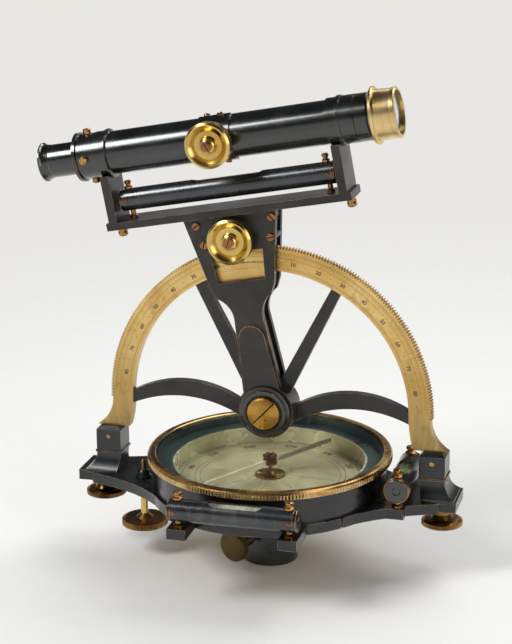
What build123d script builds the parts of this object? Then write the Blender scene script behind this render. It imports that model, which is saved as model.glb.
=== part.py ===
from build123d import *
from math import atan, cos, pi, radians, sin, tan
import os

# A surveying theodolite with a compass in its base, a toothed vertical arc and a tilting telescope.
# Millimetres, +Z up. The origin is the middle of the socket's flat bottom, on the vertical axis.
# +X runs along the arc to the right, -Y faces the person who reads the arc.

# Fits
running_fit = 0.05          # radial gap of a shaft that turns in a bore
sliding_fit = 0.10          # radial gap of one tube that slides in another
thrust_gap = 0.05           # gap between flat faces that turn on each other
screw_fit = 0.08            # radial gap of a screw in its hole

# Socket and spindle
socket_height = 43.3
socket_radius = 17.0
socket_neck_radius = 19.3
socket_head_radius = 25.0
socket_bead_height = 20.0   # height of the turned bead above the bottom
staff_bore_radius = 12.0    # taper socket of the staff head
staff_bore_depth = 26.0
spindle_radius = 8.0
spindle_start = 28.0
clamp_height = 18.5         # axis of the staff clamp screw
clamp_bearing = 246.0       # degrees, the side the clamp screw points to
clamp_shaft_radius = 2.6
clamp_head_radius = 9.7
clamp_head_thickness = 5.0
clamp_head_reach = 33.0     # from the vertical axis to the back of the head

# Base plate
plate_gap = 0.2             # between the socket's head and the plate
plate_thickness = 6.5
plate_margin = 2.0          # plate beyond the compass box
right_lug_margin = 0.8      # tip of the right lug beyond the pedestal's foot
left_lug_extra = 5.2        # how much longer the left lug is
lug_step = 10.5             # wide part of a lug ends this far before its tip
lug_half_width = 12.8
lug_tip_front = 9.0         # front side of the narrow tip
lug_tip_rear = 18.0         # rear side of the tip
lug_root_angle = 33.0       # degrees, where the lugs leave the round plate
lug_waist = 9.5             # the hollow curves are measured this far outside the round plate
lug_waist_front = 24.0
lug_waist_rear = 27.0
recess_gap = 1.9            # from the circle's pitch line to the wall of the recess around it
recess_depth = 3.4
plate_boss_radius = 12.0
plate_boss_height = 0.6
notch_bearing = -40.0       # degrees, saw cut in the plate's rim
notch_width = 1.3
notch_depth = 2.2

# Azimuth circle and its pinion
azimuth_margin = 3.7        # from the circle's pitch line to the plate's rim
azimuth_teeth = 118
azimuth_pinion_teeth = 16
azimuth_screw_bearing = 188.4
azimuth_shaft_radius = 1.6
azimuth_head_radius = 13.8
azimuth_head_thickness = 5.0
azimuth_head_drop = 25.2    # underside of the screw's head below the plate
azimuth_bearing_height = 5.5
azimuth_bearing_radius = 3.6
azimuth_shaft_rise = 12.0   # end of the shaft above the plate

# Compass
box_radius = 72.5
box_wall = 2.5
box_height = 19.8
box_floor = 2.0
box_ledge = 13.8            # top of the wide ledge around the dial, above the plate
dial_ledge = 2.6            # ledge above the box's underside that carries the dial
ledge_width = 12.0          # ring-shaped ledge around the dial
dial_thickness = 1.0
ring_wall = 1.2
ring_step = 0.2             # how far the graduated ring stands above the box's ledge
glass_thickness = 1.4
glass_gap = 0.2             # glass inside the box's outside radius
bezel_overhang = 3.5        # bezel beyond the box
bezel_skirt = 2.4           # how far the bezel reaches down over the wall
bezel_lip = 0.8
needle_gap = 4.3            # from each end of the needle to the graduated ring
needle_bar = 1.3
needle_height = 3.0
needle_bearing = 60.0
needle_level = 7.4          # underside of the needle above the dial
pivot_radius = 1.3
pivot_point_radius = 0.9    # slim top of the pivot that runs in the cap
pivot_base_radius = 9.5
cap_radius = 3.5
cap_crown = 2.7             # height of the cap above the needle

# Plate levels
front_level_gap = 0.6       # between the bezel and each level, seen from above
side_level_gap = 1.8
front_level_rise = 10.5     # level axis above the plate's top
side_level_rise = 11.8
front_level_radius = 6.9
side_level_radius = 7.7
level_wall = 1.2
front_level_length = 79.0
side_level_length = 52.0
side_level_shift = -2.0     # middle of the side level along Y
front_window = 33.0         # length of the opening over each vial
front_window_shift = 1.5    # window off the middle of the front level
side_window = 26.0
front_arm_width = 11.6
side_arm_width = 9.2
level_end = 5.6             # stud from the end of each level
level_stud_radius = 1.6
level_nut_radius = 3.2
level_cap_depth = 2.4

# Pedestals and their thumb screws
pedestal_gap = 2.3          # between the side level and the pedestal beside it
pedestal_width = 16.2
pedestal_depth = 16.0
pedestal_height = 30.0
pedestal_chamfer = 2.0
pedestal_foot_height = 13.8
foot_reach_inner = 5.6      # foot of a pedestal from the column's middle, inwards
foot_reach_outer = 14.4     # and outwards
foot_half_depth = 12.4
foot_edge = 2.4
tenon_width = 10.0
tenon_thickness = 4.6
tenon_depth = 12.0
pin_radius = 1.3
pin_drop = 6.2              # pin below the top of the column
thumb_offset = 5.4          # thumb screw outside the column's middle
thumb_radius = 3.0
thumb_head_radius = 12.1
thumb_head_drop = 11.2      # underside of the head below the plate
thumb_head_thickness = 4.2

# Vertical arc and its frame
hub_above_feet = 20.0       # hub's middle above the pedestals
arc_inset = 1.6             # pitch line of the arc inside the columns' middles
arc_teeth = 340             # teeth of the full circle
arc_band = 14.0             # from the pitch line of the teeth to the inside edge
arc_thickness = 6.5
foot_flare_inner = 3.0      # how far a leg's foot stands out from the arc's inside edge
foot_flare_outer = 10.0     # how far it stands out from the pitch line
frame_thickness = 5.0
hub_boss_radius = 17.5
hub_boss_half = 4.3
strut_angle = 27.0          # degrees from upright
strut_offset = 3.2          # how far each strut's middle line passes from the hub's middle
strut_half_width_low = 4.8
strut_half_width_high = 3.3
brace_top = (46.4, 12.8)    # highest points of a brace's two edges, from the hub
brace_bottom = (49.8, 2.7)
brace_root_reach = 12.0     # where the braces leave the hub
brace_root_high = -1.0
brace_root_low = -11.0
brace_end_high = 3.4        # edges of a brace where it meets the arc
brace_end_low = -4.6

# Index arm
arm_lean = 10.2             # degrees that the telescope is raised at rest
arm_gap = 4.4               # from the arc's middle plane to each arm plate
front_plate_thickness = 4.0
rear_plate_thickness = 3.5
arm_above_arc = 22.0        # arm's top above the arc's pitch line
arm_top_half = 29.5
arm_shoulder_drop = 22.5    # shoulders below the pitch line
arm_shoulder_half = 20.3
neck_half = 9.3
neck_foot_half = 12.4
shoulder_cut = 3.1
shoulder_height = 6.5
neck_curve = 12.5           # middle and end of the hollow curve under each shoulder
neck_start = 21.5
neck_foot_rise = 12.0       # where the neck meets the round boss
neck_raise = 2.0            # raised panel on the neck
panel_edge = 0.9
panel_rise = 46.0
panel_arch = 8.5
window_below_arc = 5.5      # window's lower edge inside the arc's inside edge
window_under_teeth = 1.0    # window's upper edge under the pitch line
window_low_half = 15.0
window_high_half = 16.8
vernier_thickness = 0.9
vernier_overlap = 4.6       # how far the vernier reaches over the arc's face
vernier_tuck = 2.5          # how far it goes down behind the window's lower edge
arm_pin_radius = 6.0
hub_disc_radius = 15.8
hub_disc_thickness = 4.0
hub_screw_radius = 10.0
altitude_pinion_teeth = 24
altitude_shaft_radius = 2.2
pinion_width = 6.0
knob_radius = 13.8
knob_thickness = 8.0
spacer_drop = 4.4           # upper screws below the arm's top
spacer_height = 6.3
post_radius = 3.0
spacer_reach = 23.9
post_above_arc = 5.4        # lower screws above the pitch line
post_reach = 21.1
arm_screw_shift = 2.0       # the screws stand this far to the right of the arm's middle
arm_screw_radius = 1.5

# Telescope and its frame
frame_bar_thickness = 4.6
frame_half_length = 75.6    # to the outer face of each upright
frame_bar_overhang = 2.0    # bar beyond each upright
frame_half_depth = 12.0
upright_thickness = 5.4
upright_below_axis = 12.3   # upright's top below the telescope's axis
telescope_clearance = 28.0  # open height between the bar and the tube
frame_nut_inset = 2.6       # nuts inside the outer faces of the uprights
frame_nut_shift = 2.0
frame_nut_front = 3.0       # nuts stand this far towards the reader
frame_nut_radius = 2.9
frame_nut_height = 5.5
tube_radius = 13.2
tube_bore = 12.2
collar_radius = 14.2
slide_wall = 1.0
slide_start = -20.0
tube_ahead = 18.8           # length of the tube ahead of the frame
tube_behind = 12.2          # length of the tube behind the frame
cell_gap = 2.0              # between the tube's end and the cell at rest
cell_length = 15.2
cell_flange_radius = 17.2
cell_flange_width = 2.2
lens_depth = 5.6            # seat of the lens behind the cell's front
lens_radius = 13.2
lens_thickness = 4.5
lens_curve = 42.5           # radius of the lens's domed front
focus_position = 0.5        # focus pinion along the tube
focus_module = 0.5
focus_pinion_teeth = 12
focus_travel_out = 12.0
focus_travel_in = 1.5
focus_shaft_radius = 1.5
saddle_left = -9.0
saddle_right = 11.0
saddle_wall = 1.2
saddle_boss = 16.2          # front of the shaft's boss from the tube's axis
diaphragm_depth = 5.3       # cross-hair diaphragm inside the tube's rear end
diaphragm_thickness = 1.6
reticle_flange = 2.0        # thickness of the reticle ring's flange
reticle_insert = 3.6
reticle_screw_radius = 1.0
reticle_head_radius = 2.5
reticle_head_height = 3.0
eye_tube_radius = 10.2
eye_tube_length = 21.2
eye_tube_depth = 1.3        # how far it reaches inside the tube at rest
eyecup_radius = 12.0
eyecup_length = 6.3

# Telescope level
scope_level_stand = 11.4    # level's axis above the bar
scope_level_radius = 6.8
scope_level_gap = 1.7       # between the level's ends and the uprights
scope_window = 46.0
scope_nut_radius = 2.4

# Values worked out from the sizes above
plate_bottom = socket_height + plate_gap
plate_radius = box_radius + plate_margin
bezel_radius = box_radius + bezel_overhang
glass_radius = box_radius - glass_gap
dial_radius = box_radius - ledge_width
needle_length = 2 * (dial_radius - ring_wall - needle_gap)
front_level_distance = bezel_radius + front_level_radius + front_level_gap
side_level_distance = bezel_radius + side_level_radius + side_level_gap
pedestal_middle = side_level_distance + side_level_radius + pedestal_gap + pedestal_width / 2
foot_inner = pedestal_middle - foot_reach_inner
foot_outer = pedestal_middle + foot_reach_outer
thumb_reach = pedestal_middle + thumb_offset
right_lug_reach = foot_outer + right_lug_margin
left_lug_reach = right_lug_reach + left_lug_extra
plate_top = plate_bottom + plate_thickness
azimuth_head_bottom = plate_bottom - azimuth_head_drop
azimuth_shaft_top = plate_top + azimuth_shaft_rise
thumb_head_bottom = plate_bottom - thumb_head_drop
web_under = plate_bottom + recess_depth
box_top = plate_top + box_height
dial_bottom = plate_top + dial_ledge
dial_top = dial_bottom + dial_thickness
bezel_top = box_top + glass_thickness + bezel_lip
pedestal_top = plate_top + pedestal_height
hub_height = pedestal_top + hub_above_feet
azimuth_pitch = plate_radius - azimuth_margin
azimuth_module = 2 * azimuth_pitch / azimuth_teeth
recess_radius = azimuth_pitch + recess_gap
azimuth_pinion_pitch = azimuth_module * azimuth_pinion_teeth / 2
azimuth_centre = azimuth_pitch + azimuth_pinion_pitch
azimuth_x = azimuth_centre * cos(radians(azimuth_screw_bearing))
azimuth_y = azimuth_centre * sin(radians(azimuth_screw_bearing))
arc_pitch = pedestal_middle - arc_inset
arc_module = 2 * arc_pitch / arc_teeth
arc_inner_radius = arc_pitch - arc_band
arc_foot_inner = arc_inner_radius + foot_flare_inner
arc_foot_outer = arc_pitch + foot_flare_outer
vernier_outer = arc_inner_radius + vernier_overlap
arm_top = arc_pitch + arm_above_arc
arm_shoulder = arc_pitch - arm_shoulder_drop
window_low = arc_inner_radius - window_below_arc
window_high = arc_pitch - window_under_teeth
spacer_rise = arm_top - spacer_drop
post_rise = arc_pitch + post_above_arc
altitude_pinion_pitch = arc_module * altitude_pinion_teeth / 2
altitude_pinion_rise = arc_pitch + altitude_pinion_pitch
focus_pinion_pitch = focus_module * focus_pinion_teeth / 2
arm_face = arm_gap + front_plate_thickness
slide_radius = tube_bore - sliding_fit
frame_bar_low = arm_top
frame_bar_high = frame_bar_low + frame_bar_thickness
frame_inner = frame_half_length - upright_thickness
frame_nut_reach = frame_half_length - frame_nut_inset
tube_rise = frame_bar_high + telescope_clearance + tube_radius
upright_top = tube_rise - upright_below_axis
tube_rear = -frame_half_length - tube_behind
tube_front = frame_half_length + tube_ahead
cell_start = tube_front + cell_gap
cell_end = cell_start + cell_length
lens_seat = cell_end - lens_depth
diaphragm_spot = tube_rear + diaphragm_depth
eye_tube_end = tube_rear + eye_tube_depth
eye_tube_start = eye_tube_end - eye_tube_length
eyecup_end = eye_tube_start - eyecup_length
scope_level_rise = frame_bar_high + scope_level_stand
scope_level_length = 2 * (frame_inner - scope_level_gap)

# Directions along and up the leaning arm
along = Vector(cos(radians(arm_lean)), 0, sin(radians(arm_lean)))
up_arm = Vector(-sin(radians(arm_lean)), 0, cos(radians(arm_lean)))
toward = Vector(0, -1, 0)
hub = Vector(0, 0, hub_height)

# Planes used again and again
arc_plane = Plane(origin=hub, x_dir=(1, 0, 0), z_dir=toward)
arm_plane = Plane(origin=hub, x_dir=along, z_dir=toward)
tube_plane = Plane(origin=hub + up_arm * tube_rise, x_dir=up_arm, z_dir=along)

os.makedirs("parts", exist_ok=True)


def turned(seat, outline):
    # A lathe-turned solid: (radius, height) points turned about the seat's normal
    section = Plane(origin=seat.origin, x_dir=seat.x_dir, z_dir=-seat.y_dir)
    with BuildPart() as blank:
        with BuildSketch(section):
            with BuildLine():
                Polyline(*outline, close=True)
            make_face()
        revolve(axis=Axis(seat.origin, seat.z_dir))
    return blank.part


def gear_points(module, teeth, first, last, addendum=0.85, dedendum=1.2, backlash=0.06, flank_steps=1):
    # Outline of external teeth first..last, counted from the +X side, with involute flanks
    pressure = radians(20)
    pitch = module * teeth / 2
    base = pitch * cos(pressure)
    root = pitch - dedendum * module
    tip = pitch + addendum * module
    half_tooth = pi / (2 * teeth) - backlash / (2 * pitch)
    start = max(root, base)
    radii = [start + (tip - start) * step / flank_steps for step in range(flank_steps + 1)]
    if root < base:
        radii.insert(0, root)

    def involute(radius):
        if radius <= base:
            return 0
        roll = ((radius / base) ** 2 - 1) ** 0.5
        return roll - atan(roll)

    points = []
    for tooth in range(first, last + 1):
        middle = 2 * pi * tooth / teeth
        for side, order in ((-1, radii), (1, radii[::-1])):
            for radius in order:
                turn = half_tooth + involute(pitch) - involute(radius)
                angle = middle + side * turn
                points.append((radius * cos(angle), radius * sin(angle)))
    return points


def moved(seat, right=0, up=0, out=0):
    # The same plane carried sideways in its own directions
    return Plane(
        origin=seat.origin + seat.x_dir * right + seat.y_dir * up + seat.z_dir * out,
        x_dir=seat.x_dir,
        z_dir=seat.z_dir,
    )


def spun(seat, degrees):
    # The same plane turned about its own normal
    turn = radians(degrees)
    return Plane(
        origin=seat.origin,
        x_dir=seat.x_dir * cos(turn) + seat.y_dir * sin(turn),
        z_dir=seat.z_dir,
    )


def save(piece, name):
    piece.part.label = name
    export_step(piece.part, f"parts/{name}.step")


# Socket that slips over the staff head, with the clamp screw's hole
clamp_plane = Plane(
    origin=(0, 0, clamp_height),
    x_dir=(0, 0, 1),
    z_dir=(cos(radians(clamp_bearing)), sin(radians(clamp_bearing)), 0),
)
with BuildPart() as socket:
    add(turned(Plane.XY, [
        (staff_bore_radius, 0),
        (socket_radius, 0),
        (socket_radius, socket_bead_height),
        (socket_radius + 1.3, socket_bead_height + 0.5),
        (socket_radius + 1.3, socket_bead_height + 1.8),
        (socket_radius + 0.8, socket_bead_height + 2.2),
        (socket_neck_radius, socket_bead_height + 3.0),
        (socket_neck_radius, socket_height - 6),
        (socket_head_radius, socket_height - 4),
        (socket_head_radius, socket_height),
        (spindle_radius, socket_height),
        (spindle_radius, spindle_start),
        (0, spindle_start),
        (0, staff_bore_depth),
        (staff_bore_radius, staff_bore_depth),
    ]))
    with BuildSketch(clamp_plane):
        Circle(clamp_shaft_radius + screw_fit)
    extrude(amount=socket_head_radius, mode=Mode.SUBTRACT)
save(socket, "socket")

# Clamp screw of the socket: shaft, shoulder and milled disc head
with BuildPart() as socket_clamp_screw:
    add(turned(clamp_plane, [
        (0, staff_bore_radius + 0.3),
        (clamp_shaft_radius, staff_bore_radius + 0.8),
        (clamp_shaft_radius, socket_radius + 3),
        (clamp_shaft_radius + 1.4, socket_radius + 4.5),
        (clamp_shaft_radius + 1.4, clamp_head_reach - 1.5),
        (clamp_head_radius - 1.2, clamp_head_reach),
        (clamp_head_radius, clamp_head_reach + 0.6),
        (clamp_head_radius, clamp_head_reach + clamp_head_thickness - 0.6),
        (clamp_head_radius - 0.8, clamp_head_reach + clamp_head_thickness),
        (0, clamp_head_reach + clamp_head_thickness),
    ]))
save(socket_clamp_screw, "socket_clamp_screw")

# Vertical spindle, pressed into the socket, with the nut that keeps the upper part on it
nut_bottom = plate_top + plate_boss_height + thrust_gap
nut_top = dial_bottom - 0.3
with BuildPart() as spindle:
    add(turned(Plane.XY, [
        (0, spindle_start),
        (spindle_radius, spindle_start),
        (spindle_radius, nut_bottom),
        (0, nut_bottom),
    ]))
    with BuildSketch(Plane.XY.offset(nut_bottom)):
        RegularPolygon(plate_boss_radius - 1.2, 6)
    extrude(amount=nut_top - nut_bottom)
save(spindle, "spindle")

# Toothed azimuth circle, fixed on the socket's head inside the plate's recess
circle_thickness = recess_depth - 0.7
lightening_radius = 13.0
with BuildPart() as azimuth_circle:
    with BuildSketch(Plane.XY.offset(socket_height)):
        with BuildLine():
            Polyline(*gear_points(azimuth_module, azimuth_teeth, 0, azimuth_teeth - 1), close=True)
        make_face()
        with PolarLocations((azimuth_pitch + socket_head_radius) / 2, 6):
            Circle(lightening_radius, mode=Mode.SUBTRACT)
    extrude(amount=circle_thickness)
    with BuildSketch(Plane.XY.offset(socket_height)):
        Circle(socket_head_radius - 3)
    extrude(amount=web_under - thrust_gap - socket_height)
    with BuildSketch(Plane.XY.offset(socket_height)):
        Circle(spindle_radius)
    extrude(amount=plate_thickness, mode=Mode.SUBTRACT)
save(azimuth_circle, "azimuth_circle")

# Base plate: round body, two lugs joined by hollow curves, and square arms for the two levels
lug_root_x = plate_radius * cos(radians(lug_root_angle))
lug_waist_x = plate_radius + lug_waist
lug_root_y = plate_radius * sin(radians(lug_root_angle))
front_stud_offset = front_level_length / 2 - level_end
side_stud_offset = side_level_length / 2 - level_end
front_arm_reach = front_level_distance + front_arm_width / 2
side_arm_reach = side_level_distance + side_arm_width / 2
with BuildPart() as base_plate:
    with BuildSketch(Plane.XY.offset(plate_bottom)):
        for side, reach in ((-1, left_lug_reach), (1, right_lug_reach)):
            root_front = (side * lug_root_x, -lug_root_y)
            root_rear = (side * lug_root_x, lug_root_y)
            step_front = (side * (reach - lug_step), -lug_half_width)
            tip_rear = (side * reach, lug_tip_rear)
            with BuildLine():
                Line(root_front, root_rear)
                ThreePointArc(root_rear, (side * lug_waist_x, lug_waist_rear), tip_rear)
                Polyline(
                    tip_rear,
                    (side * reach, -lug_tip_front),
                    (side * (reach - lug_step), -lug_tip_front),
                    step_front,
                )
                ThreePointArc(step_front, (side * lug_waist_x, -lug_waist_front), root_front)
            make_face()
        Circle(plate_radius)
        with Locations((-front_stud_offset, -front_arm_reach / 2), (front_stud_offset, -front_arm_reach / 2)):
            Rectangle(front_arm_width, front_arm_reach)
        with Locations(
            (side_arm_reach / 2, side_level_shift - side_stud_offset),
            (side_arm_reach / 2, side_level_shift + side_stud_offset),
        ):
            Rectangle(side_arm_reach, side_arm_width)
    extrude(amount=plate_thickness)
    with BuildSketch(Plane.XY.offset(plate_top)):
        Circle(plate_boss_radius)
    extrude(amount=plate_boss_height)
    with BuildSketch(Plane.XY.offset(plate_bottom)):
        Circle(recess_radius)
        with Locations((azimuth_x, azimuth_y)):
            Circle(azimuth_pinion_pitch + azimuth_module + 0.6)
    extrude(amount=recess_depth, mode=Mode.SUBTRACT)
    with BuildSketch(Plane.XY.offset(plate_bottom)):
        Circle(spindle_radius + running_fit)
        with Locations((azimuth_x, azimuth_y)):
            Circle(azimuth_shaft_radius + running_fit)
        with Locations((thumb_reach, 0), (-thumb_reach, 0)):
            Circle(thumb_radius + screw_fit)
    extrude(amount=plate_thickness + plate_boss_height, mode=Mode.SUBTRACT)
    with BuildSketch(Plane.XY.offset(plate_bottom)):
        with PolarLocations(plate_radius, 1, start_angle=notch_bearing):
            Rectangle(2 * notch_depth, notch_width)
    extrude(amount=plate_thickness, mode=Mode.SUBTRACT)
save(base_plate, "base_plate")

# Bronze bearing of the azimuth screw, standing on the lug
azimuth_plane = Plane(origin=(azimuth_x, azimuth_y, 0), x_dir=(1, 0, 0), z_dir=(0, 0, 1))
with BuildPart() as azimuth_bearing:
    add(turned(azimuth_plane, [
        (azimuth_shaft_radius + running_fit, plate_top),
        (azimuth_bearing_radius + 1.2, plate_top),
        (azimuth_bearing_radius + 1.2, plate_top + 1.2),
        (azimuth_bearing_radius, plate_top + 2.2),
        (azimuth_bearing_radius, plate_top + azimuth_bearing_height - 1),
        (azimuth_bearing_radius - 1, plate_top + azimuth_bearing_height),
        (azimuth_shaft_radius + running_fit, plate_top + azimuth_bearing_height),
    ]))
save(azimuth_bearing, "azimuth_bearing")

# Long azimuth screw with its milled disc, and the pinion on it
pinion_bottom = socket_height
with BuildPart() as azimuth_screw:
    add(turned(azimuth_plane, [
        (0, azimuth_head_bottom),
        (azimuth_head_radius - 1, azimuth_head_bottom),
        (azimuth_head_radius, azimuth_head_bottom + 0.7),
        (azimuth_head_radius, azimuth_head_bottom + azimuth_head_thickness - 0.7),
        (azimuth_head_radius - 1.4, azimuth_head_bottom + azimuth_head_thickness),
        (azimuth_shaft_radius + 4, azimuth_head_bottom + azimuth_head_thickness),
        (azimuth_shaft_radius + 1, azimuth_head_bottom + azimuth_head_thickness + 2.5),
        (azimuth_shaft_radius, azimuth_head_bottom + azimuth_head_thickness + 4),
        (azimuth_shaft_radius, azimuth_shaft_top - 0.8),
        (azimuth_shaft_radius - 0.8, azimuth_shaft_top),
        (0, azimuth_shaft_top),
    ]))
save(azimuth_screw, "azimuth_screw")

# The circle's tooth nearest the screw sets how far the pinion is turned to mesh
circle_tooth = azimuth_screw_bearing * azimuth_teeth / 360 % 1
azimuth_turn = azimuth_screw_bearing + 180 + (circle_tooth + 0.5) * 360 / azimuth_pinion_teeth
with BuildPart() as azimuth_pinion:
    with BuildSketch(spun(moved(azimuth_plane, out=pinion_bottom), azimuth_turn)):
        with BuildLine():
            Polyline(
                *gear_points(
                    azimuth_module, azimuth_pinion_teeth, 0, azimuth_pinion_teeth - 1, flank_steps=3,
                ),
                close=True,
            )
        make_face()
        Circle(azimuth_shaft_radius, mode=Mode.SUBTRACT)
    extrude(amount=circle_thickness)
save(azimuth_pinion, "azimuth_pinion")

# Compass box with its ledge for the dial
with BuildPart() as compass_box:
    add(turned(Plane.XY, [
        (plate_boss_radius + 0.5, plate_top),
        (box_radius, plate_top),
        (box_radius, box_top),
        (box_radius - box_wall, box_top),
        (box_radius - box_wall, plate_top + box_ledge),
        (dial_radius, plate_top + box_ledge),
        (dial_radius, dial_bottom),
        (dial_radius - 5, dial_bottom),
        (dial_radius - 5, plate_top + box_floor),
        (plate_boss_radius + 0.5, plate_top + box_floor),
    ]))
save(compass_box, "compass_box")

# Silvered dial and the raised graduated ring around it
with BuildPart() as compass_dial:
    with BuildSketch(Plane.XY.offset(dial_bottom)):
        Circle(dial_radius)
    extrude(amount=dial_thickness)
save(compass_dial, "compass_dial")

with BuildPart() as graduated_ring:
    with BuildSketch(Plane.XY.offset(dial_top)):
        Circle(dial_radius)
        Circle(dial_radius - ring_wall, mode=Mode.SUBTRACT)
    extrude(amount=plate_top + box_ledge + ring_step - dial_top)
save(graduated_ring, "graduated_ring")

# Glass and the bezel that holds it
with BuildPart() as compass_glass:
    with BuildSketch(Plane.XY.offset(box_top)):
        Circle(glass_radius)
    extrude(amount=glass_thickness)
save(compass_glass, "compass_glass")

with BuildPart() as bezel:
    add(turned(Plane.XY, [
        (box_radius, box_top - bezel_skirt),
        (bezel_radius, box_top - bezel_skirt),
        (bezel_radius, bezel_top - 1.4),
        (bezel_radius - 0.5, bezel_top - 0.5),
        (bezel_radius - 1.6, bezel_top),
        (glass_radius - 0.8, bezel_top),
        (glass_radius - 1.3, bezel_top - 0.4),
        (glass_radius - 1.3, box_top + glass_thickness),
        (box_radius, box_top + glass_thickness),
    ]))
save(bezel, "bezel")

# Pivot of the needle, with its round foot on the dial
needle_bottom = dial_top + needle_level
with BuildPart() as needle_pivot:
    add(turned(Plane.XY, [
        (0, dial_top),
        (pivot_base_radius, dial_top),
        (pivot_base_radius, dial_top + 1),
        (pivot_radius + 1.4, dial_top + 1.6),
        (pivot_radius, dial_top + 2.6),
        (pivot_radius, needle_bottom - thrust_gap),
        (pivot_point_radius, needle_bottom - thrust_gap),
        (pivot_point_radius, needle_bottom + 1.8),
        (0, needle_bottom + 2.2),
    ]))
save(needle_pivot, "needle_pivot")

# Edge-bar needle and its lobed cap
with BuildPart() as needle:
    with BuildSketch(Plane.XY.offset(needle_bottom)):
        Rectangle(needle_length, needle_bar, rotation=needle_bearing)
        Circle(cap_radius + 0.9)
        Circle(cap_radius - 0.9, mode=Mode.SUBTRACT)
    extrude(amount=needle_height)
save(needle, "needle")

with BuildPart() as needle_cap:
    with BuildSketch(Plane.XY.offset(needle_bottom)):
        Circle(cap_radius - 0.9)
    extrude(amount=needle_height)
    with BuildSketch(Plane.XY.offset(needle_bottom + needle_height)):
        Circle(cap_radius - 0.7)
        with PolarLocations(cap_radius - 0.7, 8):
            Circle(0.75)
    extrude(amount=cap_crown)
    with BuildSketch(Plane.XY.offset(needle_bottom)):
        Circle(pivot_point_radius + running_fit)
    extrude(amount=2.4, mode=Mode.SUBTRACT)
save(needle_cap, "needle_cap")


# Pedestals: column, moulding and a foot that spreads in hollow curves
def pedestal_solid(side):
    top_z = pedestal_top
    foot_z = plate_top + pedestal_foot_height
    inner = pedestal_middle - pedestal_width / 2
    outer = pedestal_middle + pedestal_width / 2
    half_depth = pedestal_depth / 2
    with BuildPart() as pedestal:
        with BuildSketch(Plane.XZ):
            with BuildLine():
                Polyline((outer, foot_z), (outer, top_z), (inner, top_z), (inner, foot_z))
                ThreePointArc(
                    (inner, foot_z),
                    (inner + 1.1, (foot_z + plate_top) / 2),
                    (foot_inner, plate_top),
                )
                Polyline((foot_inner, plate_top), (foot_outer, plate_top), (foot_outer, plate_top + foot_edge))
                ThreePointArc(
                    (foot_outer, plate_top + foot_edge),
                    (outer + 1.9, (foot_z + plate_top) / 2 - 0.6),
                    (outer, foot_z),
                )
            make_face()
        extrude(amount=foot_half_depth + 1, both=True)
        with BuildSketch(Plane.YZ):
            with BuildLine():
                Polyline(
                    (half_depth, foot_z),
                    (half_depth, top_z),
                    (-half_depth, top_z),
                    (-half_depth, foot_z),
                )
                ThreePointArc(
                    (-half_depth, foot_z),
                    (-half_depth - 1.3, (foot_z + plate_top) / 2),
                    (-foot_half_depth, plate_top + foot_edge),
                )
                Polyline(
                    (-foot_half_depth, plate_top + foot_edge),
                    (-foot_half_depth, plate_top),
                    (foot_half_depth, plate_top),
                    (foot_half_depth, plate_top + foot_edge),
                )
                ThreePointArc(
                    (foot_half_depth, plate_top + foot_edge),
                    (half_depth + 1.3, (foot_z + plate_top) / 2),
                    (half_depth, foot_z),
                )
            make_face()
        extrude(amount=foot_outer + 1, mode=Mode.INTERSECT)
        with BuildSketch(Plane.XY.offset(foot_z - 0.7)):
            with Locations((pedestal_middle, 0)):
                Rectangle(pedestal_width + 1.2, pedestal_depth + 1.2)
        extrude(amount=1.3)
        top_edges = pedestal.faces().sort_by(Axis.Z)[-1].edges()
        chamfer(top_edges, pedestal_chamfer)
        with BuildSketch(Plane.XY.offset(top_z)):
            with Locations((pedestal_middle, 0)):
                Rectangle(tenon_width, tenon_thickness)
        extrude(amount=-tenon_depth, mode=Mode.SUBTRACT)
        with BuildSketch(Plane.XZ):
            with Locations((pedestal_middle, top_z - pin_drop)):
                Circle(pin_radius)
        extrude(amount=pedestal_depth, both=True, mode=Mode.SUBTRACT)
        with BuildSketch(Plane.XY.offset(plate_top)):
            with Locations((thumb_reach, 0)):
                Circle(thumb_radius + screw_fit)
        extrude(amount=pedestal_foot_height - 2, mode=Mode.SUBTRACT)
    if side < 0:
        return pedestal.part.mirror(Plane.YZ)
    return pedestal.part


for side, side_name in ((-1, "left"), (1, "right")):
    with BuildPart() as pedestal:
        add(pedestal_solid(side))
    save(pedestal, f"{side_name}_pedestal")

    thumb_plane = Plane(origin=(side * thumb_reach, 0, 0), x_dir=(1, 0, 0), z_dir=(0, 0, 1))
    with BuildPart() as thumb_screw:
        add(turned(thumb_plane, [
            (0, thumb_head_bottom + 1),
            (thumb_head_radius - 5, thumb_head_bottom + 1),
            (thumb_head_radius - 4, thumb_head_bottom),
            (thumb_head_radius - 1, thumb_head_bottom),
            (thumb_head_radius, thumb_head_bottom + 0.8),
            (thumb_head_radius, thumb_head_bottom + thumb_head_thickness - 1.2),
            (thumb_head_radius - 1.5, thumb_head_bottom + thumb_head_thickness),
            (thumb_radius + 4, thumb_head_bottom + thumb_head_thickness + 0.6),
            (thumb_radius + 2.2, thumb_head_bottom + thumb_head_thickness + 3),
            (thumb_radius + 2.2, plate_bottom - thrust_gap),
            (thumb_radius, plate_bottom - thrust_gap),
            (thumb_radius, plate_top + pedestal_foot_height - 3),
            (0, plate_top + pedestal_foot_height - 3),
        ]))
    save(thumb_screw, f"{side_name}_thumb_screw")

with BuildPart() as pedestal_pins:
    with BuildSketch(Plane.XZ.offset(-pedestal_depth / 2 - 0.6)):
        with Locations(
            (pedestal_middle, pedestal_top - pin_drop),
            (-pedestal_middle, pedestal_top - pin_drop),
        ):
            Circle(pin_radius)
    extrude(amount=pedestal_depth + 1.2)
save(pedestal_pins, "pedestal_pins")

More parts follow.
